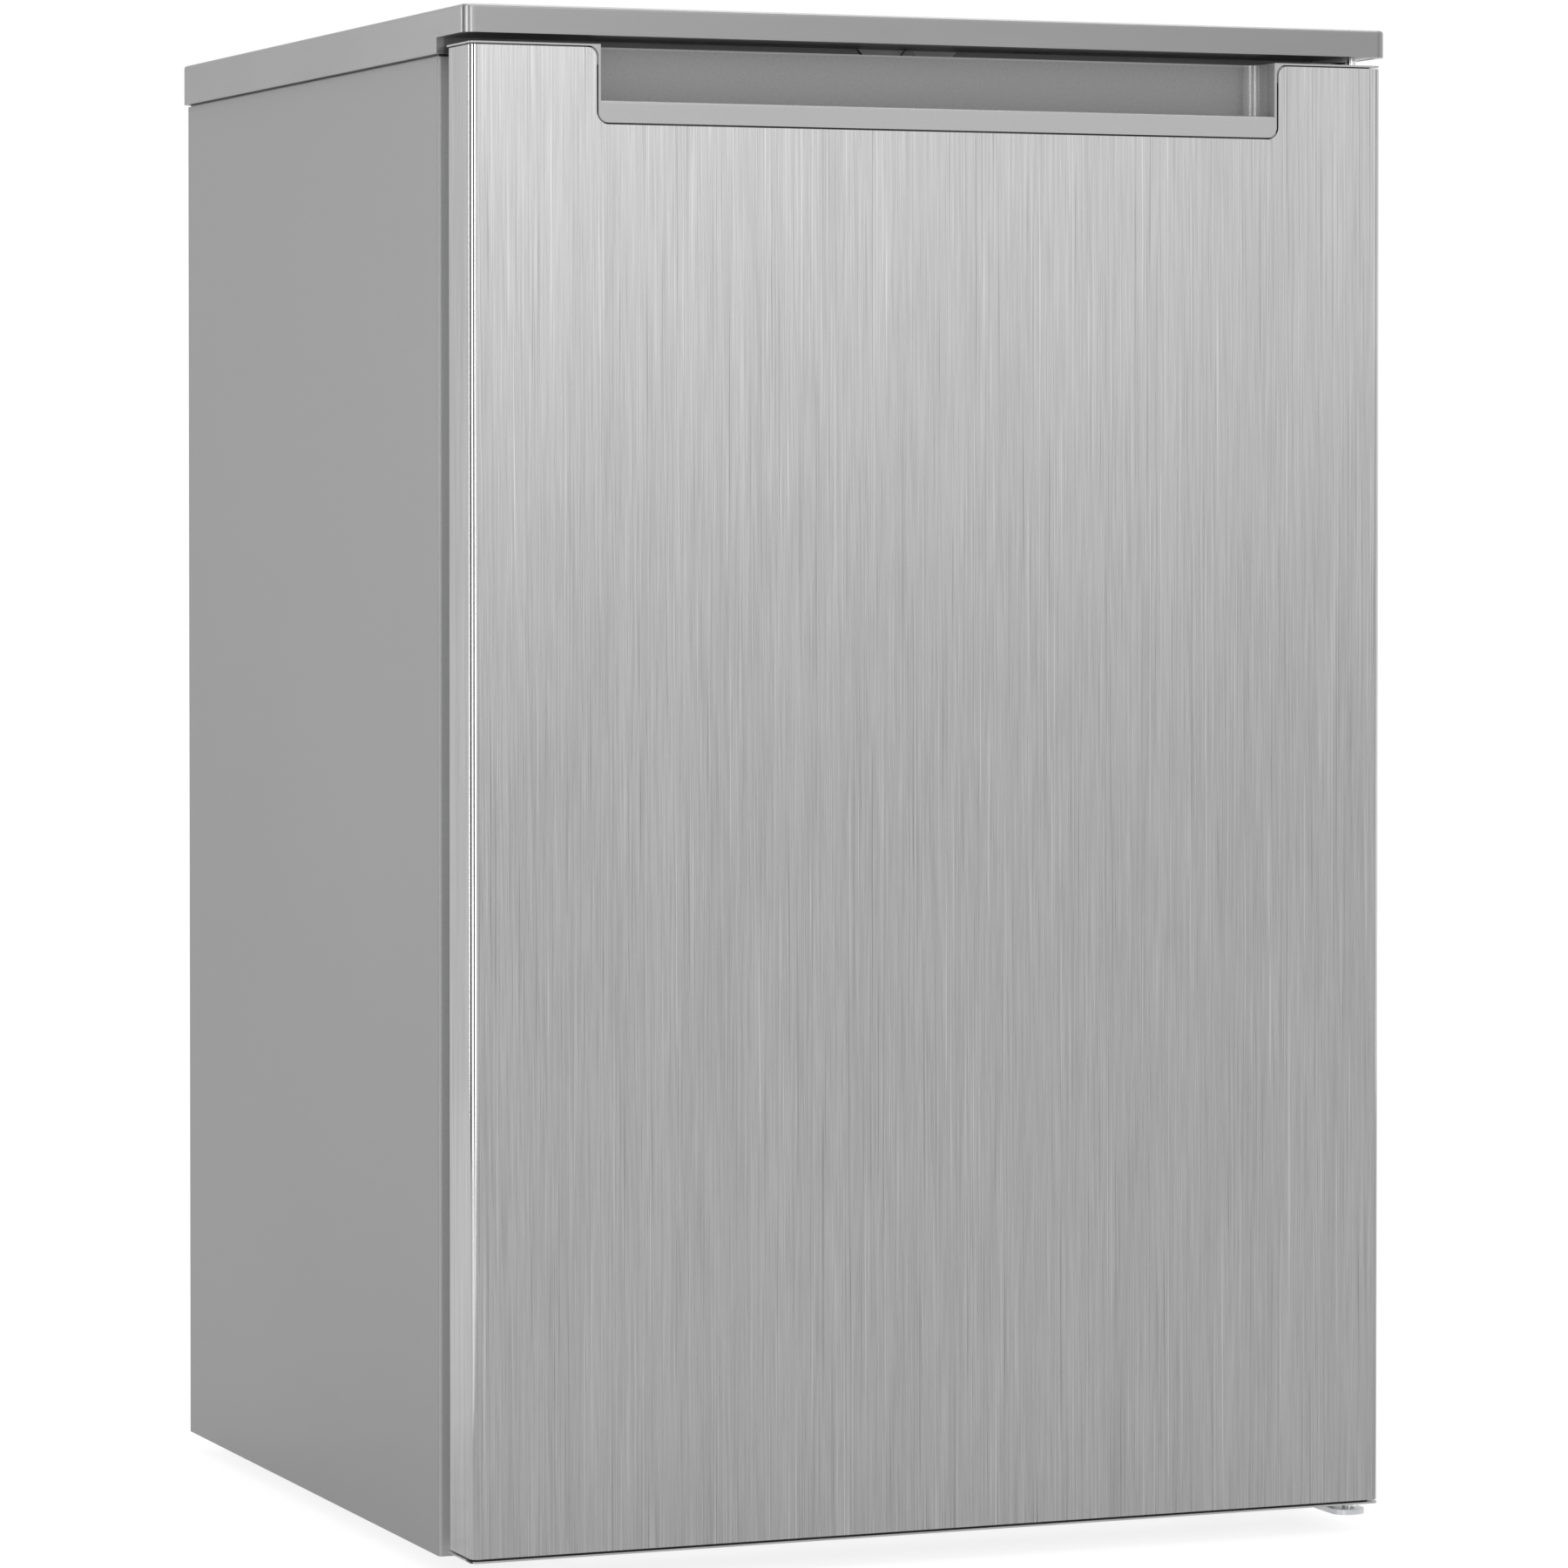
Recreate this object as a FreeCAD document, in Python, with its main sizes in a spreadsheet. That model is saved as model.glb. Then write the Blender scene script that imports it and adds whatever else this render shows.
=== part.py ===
import FreeCAD, Part
import Sketcher
import math
import os

# An undercounter refrigerator: a foamed steel cabinet under a worktop, with one brushed steel door
# hinged on the right. Millimetres. The origin is on the floor under the middle of the cabinet,
# +X to the right seen from the front, +Y to the back and +Z up.

SIZES = {
    # how far a cutting tool runs past the metal, and how far fused pieces run into each other
    "past": 1,
    "weld": 0.1,
    # cabinet shell of folded sheet
    "cabinet_width": 543,
    "cabinet_front": -215,
    "cabinet_back": 270,
    "cabinet_base": 10.5,
    "cabinet_top": 825,
    "steel": 0.8,
    "bend": 2,
    "front_flange": 28,
    "rear_flange": 12,
    "back_recess": 30,
    "top_rail_height": 25,
    "front_rail_height": 39.5,
    # compressor niche in the lower back
    "niche_front": 90,
    "niche_top": 222,
    "plate": 1.5,
    "base_plate_under": 12,
    "base_plate_front": 92,
    "base_plate_rear": 262,
    "base_plate_lip": 22,
    # white inner liner
    "cabin_half_width": 231.5,
    "cabin_back": 195,
    "cabin_top": 785,
    "cabin_step": 258,
    "cabin_low_back": 55,
    "cabin_floor": 60,
    "liner_wall": 1.5,
    "liner_corner": 12,
    "rib_depth": 8,
    "cover_rib_depth": 20,
    "rib_height": 6,
    "rib_front": -95,
    "rib_rear": 172,
    # shelves
    "shelf_glass": 4,
    "shelf_side_gap": 3.5,
    "shelf_front": -100,
    "shelf_rear": 178,
    "shelf_low": 395,
    "shelf_pitch": 125,
    "trim_wall": 2,
    "trim_hold": 10,
    "cover_side_gap": 13.5,
    # worktop
    "worktop_width": 550,
    "worktop_front": -270,
    "worktop_back": 270,
    "worktop_top": 850,
    "lip_under": 834.7,
    "skirt_low": 826,
    "skirt_step": 1,
    "skirt_front": -223,
    "worktop_corner": 6,
    "worktop_edge": 1.8,
    "worktop_rim": 9,
    "worktop_wall": 3,
    "board_seat": 838,
    "board_top": 849.5,
    "board_gap": 0.5,
    "hollow_top": 836,
    "worktop_rib": 2,
    "worktop_rib_pitch": 130,
    # clip that holds the worktop at the front
    "clip_half_width": 29.75,
    "clip_plate": 2,
    "clip_top": 834.5,
    "clip_head_radius": 4.35,
    "clip_head": 2.2,
    "clip_screw_height": 830.2,
    # door
    "door_front": -270,
    "door_back": -230,
    "skin": 0.6,
    "skin_bend": 3.7,
    "skin_rear": -233.5,
    "skin_low": 17.4,
    "skin_high": 828.2,
    "door_low": 15.2,
    "door_high": 830,
    "cap_rim": 1,
    "cap_depth": 10,
    "cap_gap": 1,
    "cap_groove": 3,
    "cap_rear": -232,
    # hand grip in the top of the door
    "grip_left": -200,
    "grip_right": 207,
    "grip_low": 787,
    "grip_convex": 5.4,
    "grip_concave": 6.8,
    "grip_rim": 1.3,
    "grip_lip_top": 800,
    "grip_lip": 3.5,
    "grip_lip_round": 1.6,
    "grip_floor": 778,
    "grip_back": -246,
    "grip_end_round": 8,
    "grip_wall": 2,
    "grip_lip_length": 300,
    "notch_side": 10,
    # door liner, seal and bins
    "door_liner_wall": 2,
    "dike_half_width": 219,
    "dike_width": 24,
    "dike_low": 72,
    "dike_high": 773,
    "dike_rear": -190,
    "lug_reach": 10,
    "lug_height": 6,
    "lug_rear": -196,
    "seal_half_width": 258,
    "seal_low": 30,
    "seal_high": 815,
    "seal_band": 22,
    "seal_foot": 4,
    "seal_neck": 4,
    "seal_neck_inset": 5,
    "seal_gap": 0.4,
    "bin_half_width": 193.5,
    "bin_wall": 2,
    "bin_front": -227.5,
    "bin_rear": -142,
    "bin_height": 62,
    "bin_low": 400,
    "bin_pitch": 200,
    "bin_corner": 14,
    "bottle_bin_rear": -118,
    "bottle_bin_low": 104,
    "bottle_bin_height": 88,
    # hinges
    "hinge_across": 263,
    "hinge_along": -250,
    "bracket": 3,
    "top_pin_radius": 2.5,
    "top_pin_low": 820.5,
    "low_pin_radius": 4,
    "low_pin_high": 24,
    "low_bracket_under": 7.5,
    "pin_play": 0.05,
    "bush_wall": 3.5,
    "bush_collar": 1,
    "bush_collar_rise": 0.5,
    "bracket_half_width": 12,
    "bracket_reach": 9.5,
    "bracket_outer": 7.5,
    "bracket_foot": 65,
    "low_bracket_rear": -150,
    "bracket_end_round": 8,
    "screw_radius": 2,
    "screw_head_radius": 4.5,
    "screw_head": 2.4,
    "screw_length": 14,
    "screw_inset": 5,
    "screw_first": 25,
    "screw_pitch": 28,
    # feet
    "foot_across": 215,
    "foot_along": -160,
    "foot_radius": 16,
    "foot_height": 10.2,
    "stud_radius": 4,
    "stud_top": 46,
    "insert_radius": 9,
    "insert_top": 50,
    "stud_play": 0.06,
    "rear_foot_across": 225,
    "rear_foot_along": 235,
    "rear_foot_radius": 17,
    # control box with the lamp
    "control_half_width": 80,
    "control_front": -70,
    "control_rear": 50,
    "control_low": 747,
    "control_wall": 2,
    "control_corner": 10,
    "lens_left": -70,
    "lens_right": 18,
    "lens_margin": 10,
    "lens_sheet": 1.5,
    "lamp_height": 767,
    "lamp_radius": 11,
    "lamp_left": -46,
    "lamp_neck_radius": 6,
    "socket_radius": 9,
    "socket_left": 8,
    "socket_right": 38,
    "post_inset": 8,
    "knob_across": 55,
    "knob_radius": 15,
    "knob_length": 12,
    "knob_gap": 0.5,
    "knob_bar": 5,
    "knob_bar_rise": 4,
    "knob_bar_inset": 1,
    "knob_shaft_radius": 3,
    "knob_shaft": 26,
    "knob_play": 0.06,
    # door switch
    "switch_across": 150,
    "switch_half_width": 12,
    "switch_front": -172,
    "switch_rear": -136,
    "switch_low": 755,
    "plunger_height": 764,
    "plunger_radius": 3.5,
    "plunger_gap": 0.5,
    "plunger_rear": -142,
    "plunger_play": 0.08,
    "plunger_room": 2,
    # crisper
    "crisper_half_width": 222,
    "crisper_front": -106,
    "crisper_rear": 50,
    "crisper_low": 60.5,
    "crisper_high": 246,
    "crisper_wall": 2.5,
    "crisper_corner": 14,
    "crisper_grip": 6,
    "crisper_grip_height": 16,
    "crisper_grip_half_width": 70,
    # cold plate and drain
    "cold_half_width": 185,
    "cold_front": 186,
    "cold_sheet": 2,
    "cold_low": 300,
    "cold_high": 728,
    "cold_spacer": 9,
    "drain_across": 60,
    "drain_along": 215,
    "drain_radius": 7,
    "drain_bore": 5,
    "drain_step": 1,
    "drain_low": 200,
    "drain_high": 290,
    # compressor
    "comp_across": 90,
    "comp_along": 176,
    "comp_radius": 68,
    "comp_low": 27,
    "comp_high": 166,
    "comp_low_round": 24,
    "comp_high_round": 40,
    "comp_seam_low": 94,
    "comp_seam": 5,
    "comp_seam_reach": 4,
    "comp_foot_half_length": 92,
    "comp_foot_half_width": 62,
    "comp_foot_corner": 10,
    "comp_foot": 3,
    "comp_foot_over": 0.5,
    "grommet_radius": 11,
    "grommet_across": 78,
    "grommet_along": 48,
    "bolt_radius": 3,
    "bolt_head_radius": 7,
    "bolt_head": 4,
    "bolt_hole": 30,
    "box_reach": 34,
    "box_half_width": 26,
    "box_low": 60,
    "box_high": 128,
    "tray_half_length": 68,
    "tray_half_width": 58,
    "tray_low": 168,
    "tray_high": 192,
    "tray_wall": 1.5,
    "tray_corner": 16,
    # condenser and lines
    "coil_half_width": 222,
    "coil_low": 262,
    "coil_pitch": 44,
    "coil_rows": 12,
    "coil_along": 255,
    "coil_radius": 2.4,
    "wire_radius": 0.8,
    "wire_pitch": 12,
    "wire_count": 35,
    "wire_over": 8,
    "clip_block": 16,
    "clip_inset": 35,
    "drier_across": -80,
    "drier_along": 205,
    "drier_low": 60,
    "drier_high": 150,
    "drier_radius": 9,
    "drier_nose": 12,
    "line_radius": 2.4,
    "line_bend": 16,
    "hot_line_out": 18,
    "hot_line_height": 195,
    "suction_in": 4,
    "suction_reach": 40,
    "suction_forward": 10,
    "suction_height": 120,
    "gland_across": -150,
    "gland_height": 24,
    "gland_radius": 8,
    "gland_collar": 11,
    "gland_bore": 4,
    "gland_out": 266,
    "gland_tail": 4.5,
}

doc = FreeCAD.newDocument("refrigerator")
sheet = doc.addObject("Spreadsheet::Sheet", "Sizes")


class Size:
    """A number that also carries the spreadsheet expression it comes from."""

    def __init__(self, value, text):
        self.value = float(value)
        self.text = text

    def __add__(self, other):
        other = size(other)
        return Size(self.value + other.value, "(%s + %s)" % (self.text, other.text))

    def __sub__(self, other):
        other = size(other)
        return Size(self.value - other.value, "(%s - %s)" % (self.text, other.text))

    def __mul__(self, other):
        other = size(other)
        return Size(self.value * other.value, "(%s * %s)" % (self.text, other.text))

    def __truediv__(self, other):
        other = size(other)
        return Size(self.value / other.value, "(%s / %s)" % (self.text, other.text))

    def __neg__(self):
        return Size(-self.value, "(0 - %s)" % self.text)

    def __radd__(self, other):
        return size(other) + self

    def __rsub__(self, other):
        return size(other) - self

    def __rmul__(self, other):
        return size(other) * self


def size(thing):
    """The thing itself when it is a Size, else a plain number as one."""
    return thing if isinstance(thing, Size) else Size(thing, "(%.6f)" % thing)


class Sheet:
    """Each cell of the spreadsheet as a Size, read by its alias."""

    def __init__(self, table):
        for row, (alias, number) in enumerate(table.items(), start=1):
            sheet.set("A%d" % row, alias)
            sheet.set("B%d" % row, str(number))
            sheet.setAlias("B%d" % row, alias)
            setattr(self, alias, Size(number, "Sizes." + alias))


s = Sheet(SIZES)
doc.recompute()
nodes = []


def keep(name, piece):
    """Marks a finished piece as the node of this name."""
    piece.Label = name
    nodes.append(piece)
    return piece


def in_order(first, second):
    """Two sizes, the lesser first."""
    return (first, second) if first.value < second.value else (second, first)


def bind(thing, prop, wanted):
    """Ties one property to the sheet."""
    thing.setExpression(prop, size(wanted).text)


# ---- ways of making a piece ----

PLANES = {"XY": ("XY_Plane", 1), "XZ": ("XZ_Plane", -1), "YZ": ("YZ_Plane", 1)}


def toward(here, there, radius):
    """The point one radius from here along the level or upright edge that leads there."""
    if abs(there[0].value - here[0].value) > abs(there[1].value - here[1].value):
        return (here[0] + radius if there[0].value > here[0].value else here[0] - radius, here[1])
    return (here[0], here[1] + radius if there[1].value > here[1].value else here[1] - radius)


def vector(point):
    return FreeCAD.Vector(point[0].value, point[1].value, 0)


def pin_point(sketch, line, end, point):
    """Fixes one end of a line at a point given by the sheet."""
    for kind, wanted in zip(("DistanceX", "DistanceY"), point):
        index = sketch.addConstraint(Sketcher.Constraint(kind, -1, 1, line, end, wanted.value))
        sketch.setExpression("Constraints[%d]" % index, wanted.text)


def draw(sketch, corners):
    """A closed outline. A corner with a third number is rounded to it, and its edges are square."""
    corners = [tuple(size(number) for number in corner) for corner in corners]
    count = len(corners)
    enter, leave = [], []
    for i, corner in enumerate(corners):
        here = corner[:2]
        round_it = len(corner) == 3
        enter.append(toward(here, corners[i - 1], corner[2]) if round_it else here)
        leave.append(toward(here, corners[(i + 1) % count], corner[2]) if round_it else here)
    for i in range(count):
        sketch.addGeometry(Part.LineSegment(vector(leave[i]), vector(enter[(i + 1) % count])), False)
    for i in range(count):
        after = (i + 1) % count
        pin_point(sketch, i, 1, leave[i])
        if len(corners[after]) == 2:
            sketch.addConstraint(Sketcher.Constraint("Coincident", i, 2, after, 1))
            continue
        pin_point(sketch, i, 2, enter[after])
        first, last, corner = vector(enter[after]), vector(leave[after]), vector(corners[after])
        centre = first + last - corner
        turn = (corner - first).cross(last - corner).z
        ends = (first, last) if turn > 0 else (last, first)
        angles = [math.atan2(end.y - centre.y, end.x - centre.x) for end in ends]
        circle = Part.Circle(centre, FreeCAD.Vector(0, 0, 1), corners[after][2].value)
        arc = sketch.addGeometry(Part.ArcOfCircle(circle, angles[0], angles[1]), False)
        sketch.addConstraint(Sketcher.Constraint("Coincident", i, 2, arc, 1 if turn > 0 else 2))
        sketch.addConstraint(Sketcher.Constraint("Coincident", after, 1, arc, 2 if turn > 0 else 1))
        radius = corners[after][2]
        index = sketch.addConstraint(Sketcher.Constraint("Radius", arc, radius.value))
        sketch.setExpression("Constraints[%d]" % index, radius.text)


def sketch_in(body, plane, corners, offset):
    """A sketch of an outline in a body, this far along the plane's own normal."""
    role = PLANES[plane][0]
    origin_plane = [part for part in body.Origin.OriginFeatures if part.Role == role][0]
    sketch = body.newObject("Sketcher::SketchObject", body.Name + "_outline")
    sketch.AttachmentSupport = [(origin_plane, "")]
    sketch.MapMode = "FlatFace"
    bind(sketch, "AttachmentOffset.Base.z", offset)
    draw(sketch, corners)
    return sketch


def new_body(name):
    return doc.addObject("PartDesign::Body", name + "_body")


def pad(body, plane, corners, low, high):
    """Adds the outline, from low to high across its plane."""
    low, high = size(low), size(high)
    start = low if PLANES[plane][1] > 0 else -high
    feature_sketch = sketch_in(body, plane, corners, start)
    feature = body.newObject("PartDesign::Pad", body.Name + "_pad")
    feature.Profile = feature_sketch
    bind(feature, "Length", high - low)
    return feature


def pocket(body, plane, corners, low, high):
    """Takes the outline away, from low to high across its plane."""
    low, high = size(low), size(high)
    start = high if PLANES[plane][1] > 0 else -low
    feature_sketch = sketch_in(body, plane, corners, start)
    feature = body.newObject("PartDesign::Pocket", body.Name + "_pocket")
    feature.Profile = feature_sketch
    bind(feature, "Length", high - low)
    return feature


def turned(name, across, along, corners):
    """A body turned about an upright axis from an outline of (radius, height) corners."""
    body = new_body(name)
    feature_sketch = sketch_in(body, "XZ", corners, 0)
    feature = body.newObject("PartDesign::Revolution", body.Name + "_turn")
    feature.Profile = feature_sketch
    feature.ReferenceAxis = (feature_sketch, ["V_Axis"])
    feature.Angle = 360
    bind(body, "Placement.Base.x", across)
    bind(body, "Placement.Base.y", along)
    return body


def rectangle(low, high, corner=None):
    """Four corners, rounded alike when a corner radius is given."""
    (a, b), (c, d) = low, high
    extra = () if corner is None else (corner,)
    return [(a, b) + extra, (c, b) + extra, (c, d) + extra, (a, d) + extra]


# Two places nearer than this count as the same place when an edge is looked for.
NEAR = 0.01


def soften(body, feature, radius, wanted):
    """Rounds the edges of the last feature for which wanted(edge) is true."""
    doc.recompute()
    names = ["Edge%d" % (i + 1) for i, edge in enumerate(feature.Shape.Edges) if wanted(edge)]
    fillet = body.newObject("PartDesign::Fillet", body.Name + "_round")
    fillet.Base = (feature, names)
    bind(fillet, "Radius", radius)
    body.Tip = fillet
    return fillet


def block(name, low, high):
    """A box between two opposite corners."""
    piece = doc.addObject("Part::Box", name)
    for prop, axis, a, b in zip(("Length", "Width", "Height"), "xyz", low, high):
        bind(piece, prop, size(b) - a)
        bind(piece, "Placement.Base." + axis, a)
    return piece


TURNS = {
    "X": FreeCAD.Rotation(FreeCAD.Vector(0, 1, 0), 90),
    "Y": FreeCAD.Rotation(FreeCAD.Vector(1, 0, 0), -90),
    "Z": FreeCAD.Rotation(),
}


def rod(name, axis, start, length, radius):
    """A round bar from its start point along +X, +Y or +Z."""
    piece = doc.addObject("Part::Cylinder", name)
    piece.Placement = FreeCAD.Placement(FreeCAD.Vector(), TURNS[axis])
    for letter, wanted in zip("xyz", start):
        bind(piece, "Placement.Base." + letter, wanted)
    bind(piece, "Radius", radius)
    bind(piece, "Height", length)
    return piece


def cut(name, base, *tools):
    """The base less every tool."""
    piece = doc.addObject("Part::Cut", name)
    piece.Base = base
    piece.Tool = tools[0] if len(tools) == 1 else fuse(name + "_tools", *tools)
    return piece


def fuse(name, *parts):
    piece = doc.addObject("Part::MultiFuse", name)
    piece.Shapes = list(parts)
    return piece


def together(name, parts):
    """Separate solids that make up one node."""
    piece = doc.addObject("Part::Compound", name)
    piece.Links = list(parts)
    return piece


def ring(name, low, high, band, front, rear):
    """A rectangular band in the XZ plane, from its outer corners inward."""
    (a, b), (c, d) = low, high
    outer = block(name + "_outer", (a, front, b), (c, rear, d))
    inner = block(
        name + "_inner", (a + band, front - s.past, b + band), (c - band, rear + s.past, d - band))
    return cut(name, outer, inner)


def bent_tube(name, points, radius, bend):
    """A tube along straight runs joined by round bends. The points are plain numbers."""
    points = [FreeCAD.Vector(*point) for point in points]
    edges, last = [], points[0]
    for before, here, after in zip(points, points[1:], points[2:]):
        into, away = (here - before).normalize(), (after - here).normalize()
        half = into.getAngle(away) / 2
        reach = bend * math.tan(half)
        start, end = here - into * reach, here + away * reach
        middle = here + (away - into).normalize() * (bend / math.cos(half) - bend)
        edges.append(Part.LineSegment(last, start).toShape())
        edges.append(Part.Arc(start, middle, end).toShape())
        last = end
    edges.append(Part.LineSegment(last, points[-1]).toShape())
    path = Part.Wire(edges)
    section = Part.Wire(Part.Circle(points[0], points[1] - points[0], radius).toShape())
    piece = doc.addObject("Part::Feature", name)
    piece.Shape = path.makePipeShell([section], True, True)
    return piece


# ---- shared places ----

HALF = s.cabinet_width / 2
INSIDE = HALF - s.steel
FRONT_INSIDE = s.cabinet_front + s.steel
FOLD = s.cabinet_front + s.bend
BACK = s.cabinet_back - s.back_recess
CABIN = s.cabin_half_width
NICHE = s.niche_front - s.steel
NICHE_ROOF = s.niche_top + s.steel
LINER_FACE = s.cabinet_front + s.liner_wall


# ---- cabinet sheets ----

def side_panel(name, side):
    """A painted sheet folded in along its front and rear edges."""
    outer, inner, inner_bend = side * HALF, side * INSIDE, s.bend - s.steel
    front_edge, rear_edge = side * (HALF - s.front_flange), side * (HALF - s.rear_flange)
    body = new_body(name)
    corners = [
        (front_edge, s.cabinet_front),
        (outer, s.cabinet_front, s.bend),
        (outer, s.cabinet_back, s.bend),
        (rear_edge, s.cabinet_back),
        (rear_edge, s.cabinet_back - s.steel),
        (inner, s.cabinet_back - s.steel, inner_bend),
        (inner, FRONT_INSIDE, inner_bend),
        (front_edge, FRONT_INSIDE),
    ]
    pad(body, "XY", corners, s.cabinet_base, s.cabinet_top)
    return keep(name, body)


side_panel("side_panel_left", -1)
side_panel("side_panel_right", 1)

RAIL = HALF - s.front_flange
keep("cabinet_top_sheet", block(
    "top_sheet", (-INSIDE, FOLD, s.cabinet_top - s.steel), (INSIDE, BACK, s.cabinet_top)))
keep("back_panel", block(
    "back_sheet", (-INSIDE, BACK - s.steel, NICHE_ROOF), (INSIDE, BACK, s.cabinet_top - s.steel)))
keep("top_cross_rail", block(
    "top_rail",
    (-RAIL, s.cabinet_front, s.cabinet_top - s.top_rail_height),
    (RAIL, FRONT_INSIDE, s.cabinet_top)))
keep("front_cross_rail", block(
    "front_rail",
    (-RAIL, s.cabinet_front, s.cabinet_base),
    (RAIL, FRONT_INSIDE, s.cabinet_base + s.front_rail_height)))

bottom = block(
    "bottom_blank",
    (-INSIDE, FOLD, s.cabinet_base),
    (INSIDE, NICHE, s.cabinet_base + s.steel))
stud_holes = [
    rod("stud_hole", "Z", (side * s.foot_across, s.foot_along, s.cabinet_base - s.past),
        s.steel + s.past * 2, s.stud_radius + s.stud_play)
    for side in (-1, 1)]
keep("bottom_sheet", cut("bottom", bottom, *stud_holes))

niche = new_body("niche")
pad(niche, "YZ", [
    (NICHE, s.cabinet_base), (s.niche_front, s.cabinet_base), (s.niche_front, s.niche_top),
    (BACK, s.niche_top), (BACK, NICHE_ROOF), (NICHE, NICHE_ROOF)], -INSIDE, INSIDE)
drain_hole = rod(
    "drain_hole", "Z", (s.drain_across, s.drain_along, s.niche_top - s.past),
    s.steel + s.past * 2, s.drain_radius)
keep("niche_plate", cut("niche_with_hole", niche, drain_hole))


def base_plate():
    """The compressor's carrier, a shallow channel across the back of the cabinet."""
    under, lip, front, rear = s.base_plate_under, s.base_plate_lip, s.base_plate_front, s.base_plate_rear
    body = new_body("base_plate")
    pad(body, "YZ", [
        (front, under), (rear, under), (rear, under + lip), (rear - s.plate, under + lip),
        (rear - s.plate, under + s.plate), (front + s.plate, under + s.plate),
        (front + s.plate, under + lip), (front, under + lip)], -INSIDE, INSIDE)
    hole = rod(
        "gland_hole", "Y", (s.gland_across, rear - s.plate - s.past, s.gland_height),
        s.plate + s.past * 2, s.gland_radius)
    return keep("base_plate", cut("base_channel", body, hole))


base_plate()


# ---- inner liner ----

def cabin_block(name, grow):
    """The cabin's upper and lower spaces as one solid, grown by this much on every wall."""
    body = new_body(name)
    corner = s.liner_corner + grow
    upper = rectangle((-CABIN - grow, s.cabin_step - grow), (CABIN + grow, s.cabin_top + grow), corner)
    lower_top = s.cabin_step + s.liner_corner * 3
    lower = rectangle((-CABIN - grow, s.cabin_floor - grow), (CABIN + grow, lower_top), corner)
    pad(body, "XZ", upper, s.cabinet_front, s.cabin_back + grow)
    pad(body, "XZ", lower, s.cabinet_front, s.cabin_low_back + grow)
    return body


def inner_liner():
    """One vacuum-formed tub with a front rim and ledges for the shelves."""
    outside = cabin_block("liner_outside", s.liner_wall)
    inside = cabin_block("liner_inside", 0)
    rim = block(
        "liner_rim",
        (-RAIL, s.cabinet_front, s.cabinet_base + s.front_rail_height),
        (RAIL, LINER_FACE, s.cabinet_top - s.top_rail_height))
    tub = cut("liner_tub", fuse("liner_with_rim", outside, rim), inside)
    rests = [(level, s.rib_depth, s.rib_rear) for level in shelf_levels()]
    rests.append((s.cabin_step, s.cover_rib_depth, s.cabin_low_back))
    ledges = []
    for level, reach, rear in rests:
        for side in (-1, 1):
            ends = in_order(side * (CABIN + s.liner_wall / 2), side * (CABIN - reach))
            ledges.append(block(
                "ledge", (ends[0], s.rib_front, level - s.rib_height), (ends[1], rear, level)))
    keep("inner_liner", fuse("liner", tub, *ledges))
    return outside


def shelf_levels():
    return [s.shelf_low + s.shelf_pitch * i for i in range(3)]


liner_outside = inner_liner()


# ---- foam between the shell and the liner ----

def pin_screws(name, height, up, along):
    """Two pan-head screws in a row, with the heads above the plate or below it."""
    parts = []
    for i in range(2):
        at = (s.hinge_across - s.screw_inset, along + s.screw_pitch * i)
        head_low = height if up else height - s.screw_head
        shank_low = height - s.screw_length if up else height
        head = rod("head", "Z", at + (head_low,), s.screw_head, s.screw_head_radius)
        shank = rod("shank", "Z", at + (shank_low,), s.screw_length, s.screw_radius)
        parts.append(fuse(name, head, shank))
    return parts


SCREW_ROW = s.cabinet_front + s.screw_first
screws = pin_screws("top_screw", s.cabinet_top + s.bracket, True, SCREW_ROW)
screws += pin_screws("low_screw", s.low_bracket_under, False, SCREW_ROW)
screws.append(rod(
    "clip_screw", "Y", (0, s.skirt_front - s.clip_plate - s.clip_head, s.clip_screw_height),
    s.clip_head, s.clip_head_radius))
keep("screws", together("screw_set", screws))


def drain_parts(name, radius):
    """The elbow that drains the cabin's back wall into the tray, as a solid of this radius."""
    high = s.drain_high - s.drain_radius * 2
    upright = rod(name + "_upright", "Z", (s.drain_across, s.drain_along, s.drain_low),
                  s.drain_high - s.drain_low, radius)
    level = rod(name + "_level", "Y", (s.drain_across, s.cabin_back + s.liner_wall, high),
                s.drain_along - s.cabin_back - s.liner_wall, radius - s.drain_step)
    return fuse(name, upright, level)


def cabinet_foam():
    """Rigid foam that fills the walls, floor, roof and back."""
    floor, roof = s.cabinet_base + s.steel, s.cabinet_top - s.steel
    blank = block("foam_blank", (-INSIDE, FOLD, floor), (INSIDE, BACK - s.steel, roof))
    niche_room = block("niche_room", (-HALF, NICHE, 0), (HALF, s.cabinet_back, NICHE_ROOF))
    insert_rooms = [
        rod("insert_room", "Z", (side * s.foot_across, s.foot_along, floor - s.past),
            s.insert_top - floor + s.past, s.insert_radius)
        for side in (-1, 1)]
    tools = [liner_outside, niche_room, drain_parts("drain_room", s.drain_radius)] + insert_rooms
    keep("cabinet_foam", cut("foam", blank, *tools))


cabinet_foam()
keep("drain_tube", cut(
    "drain", drain_parts("drain_solid", s.drain_radius), drain_parts("drain_bore", s.drain_bore)))


# ---- worktop ----

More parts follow.
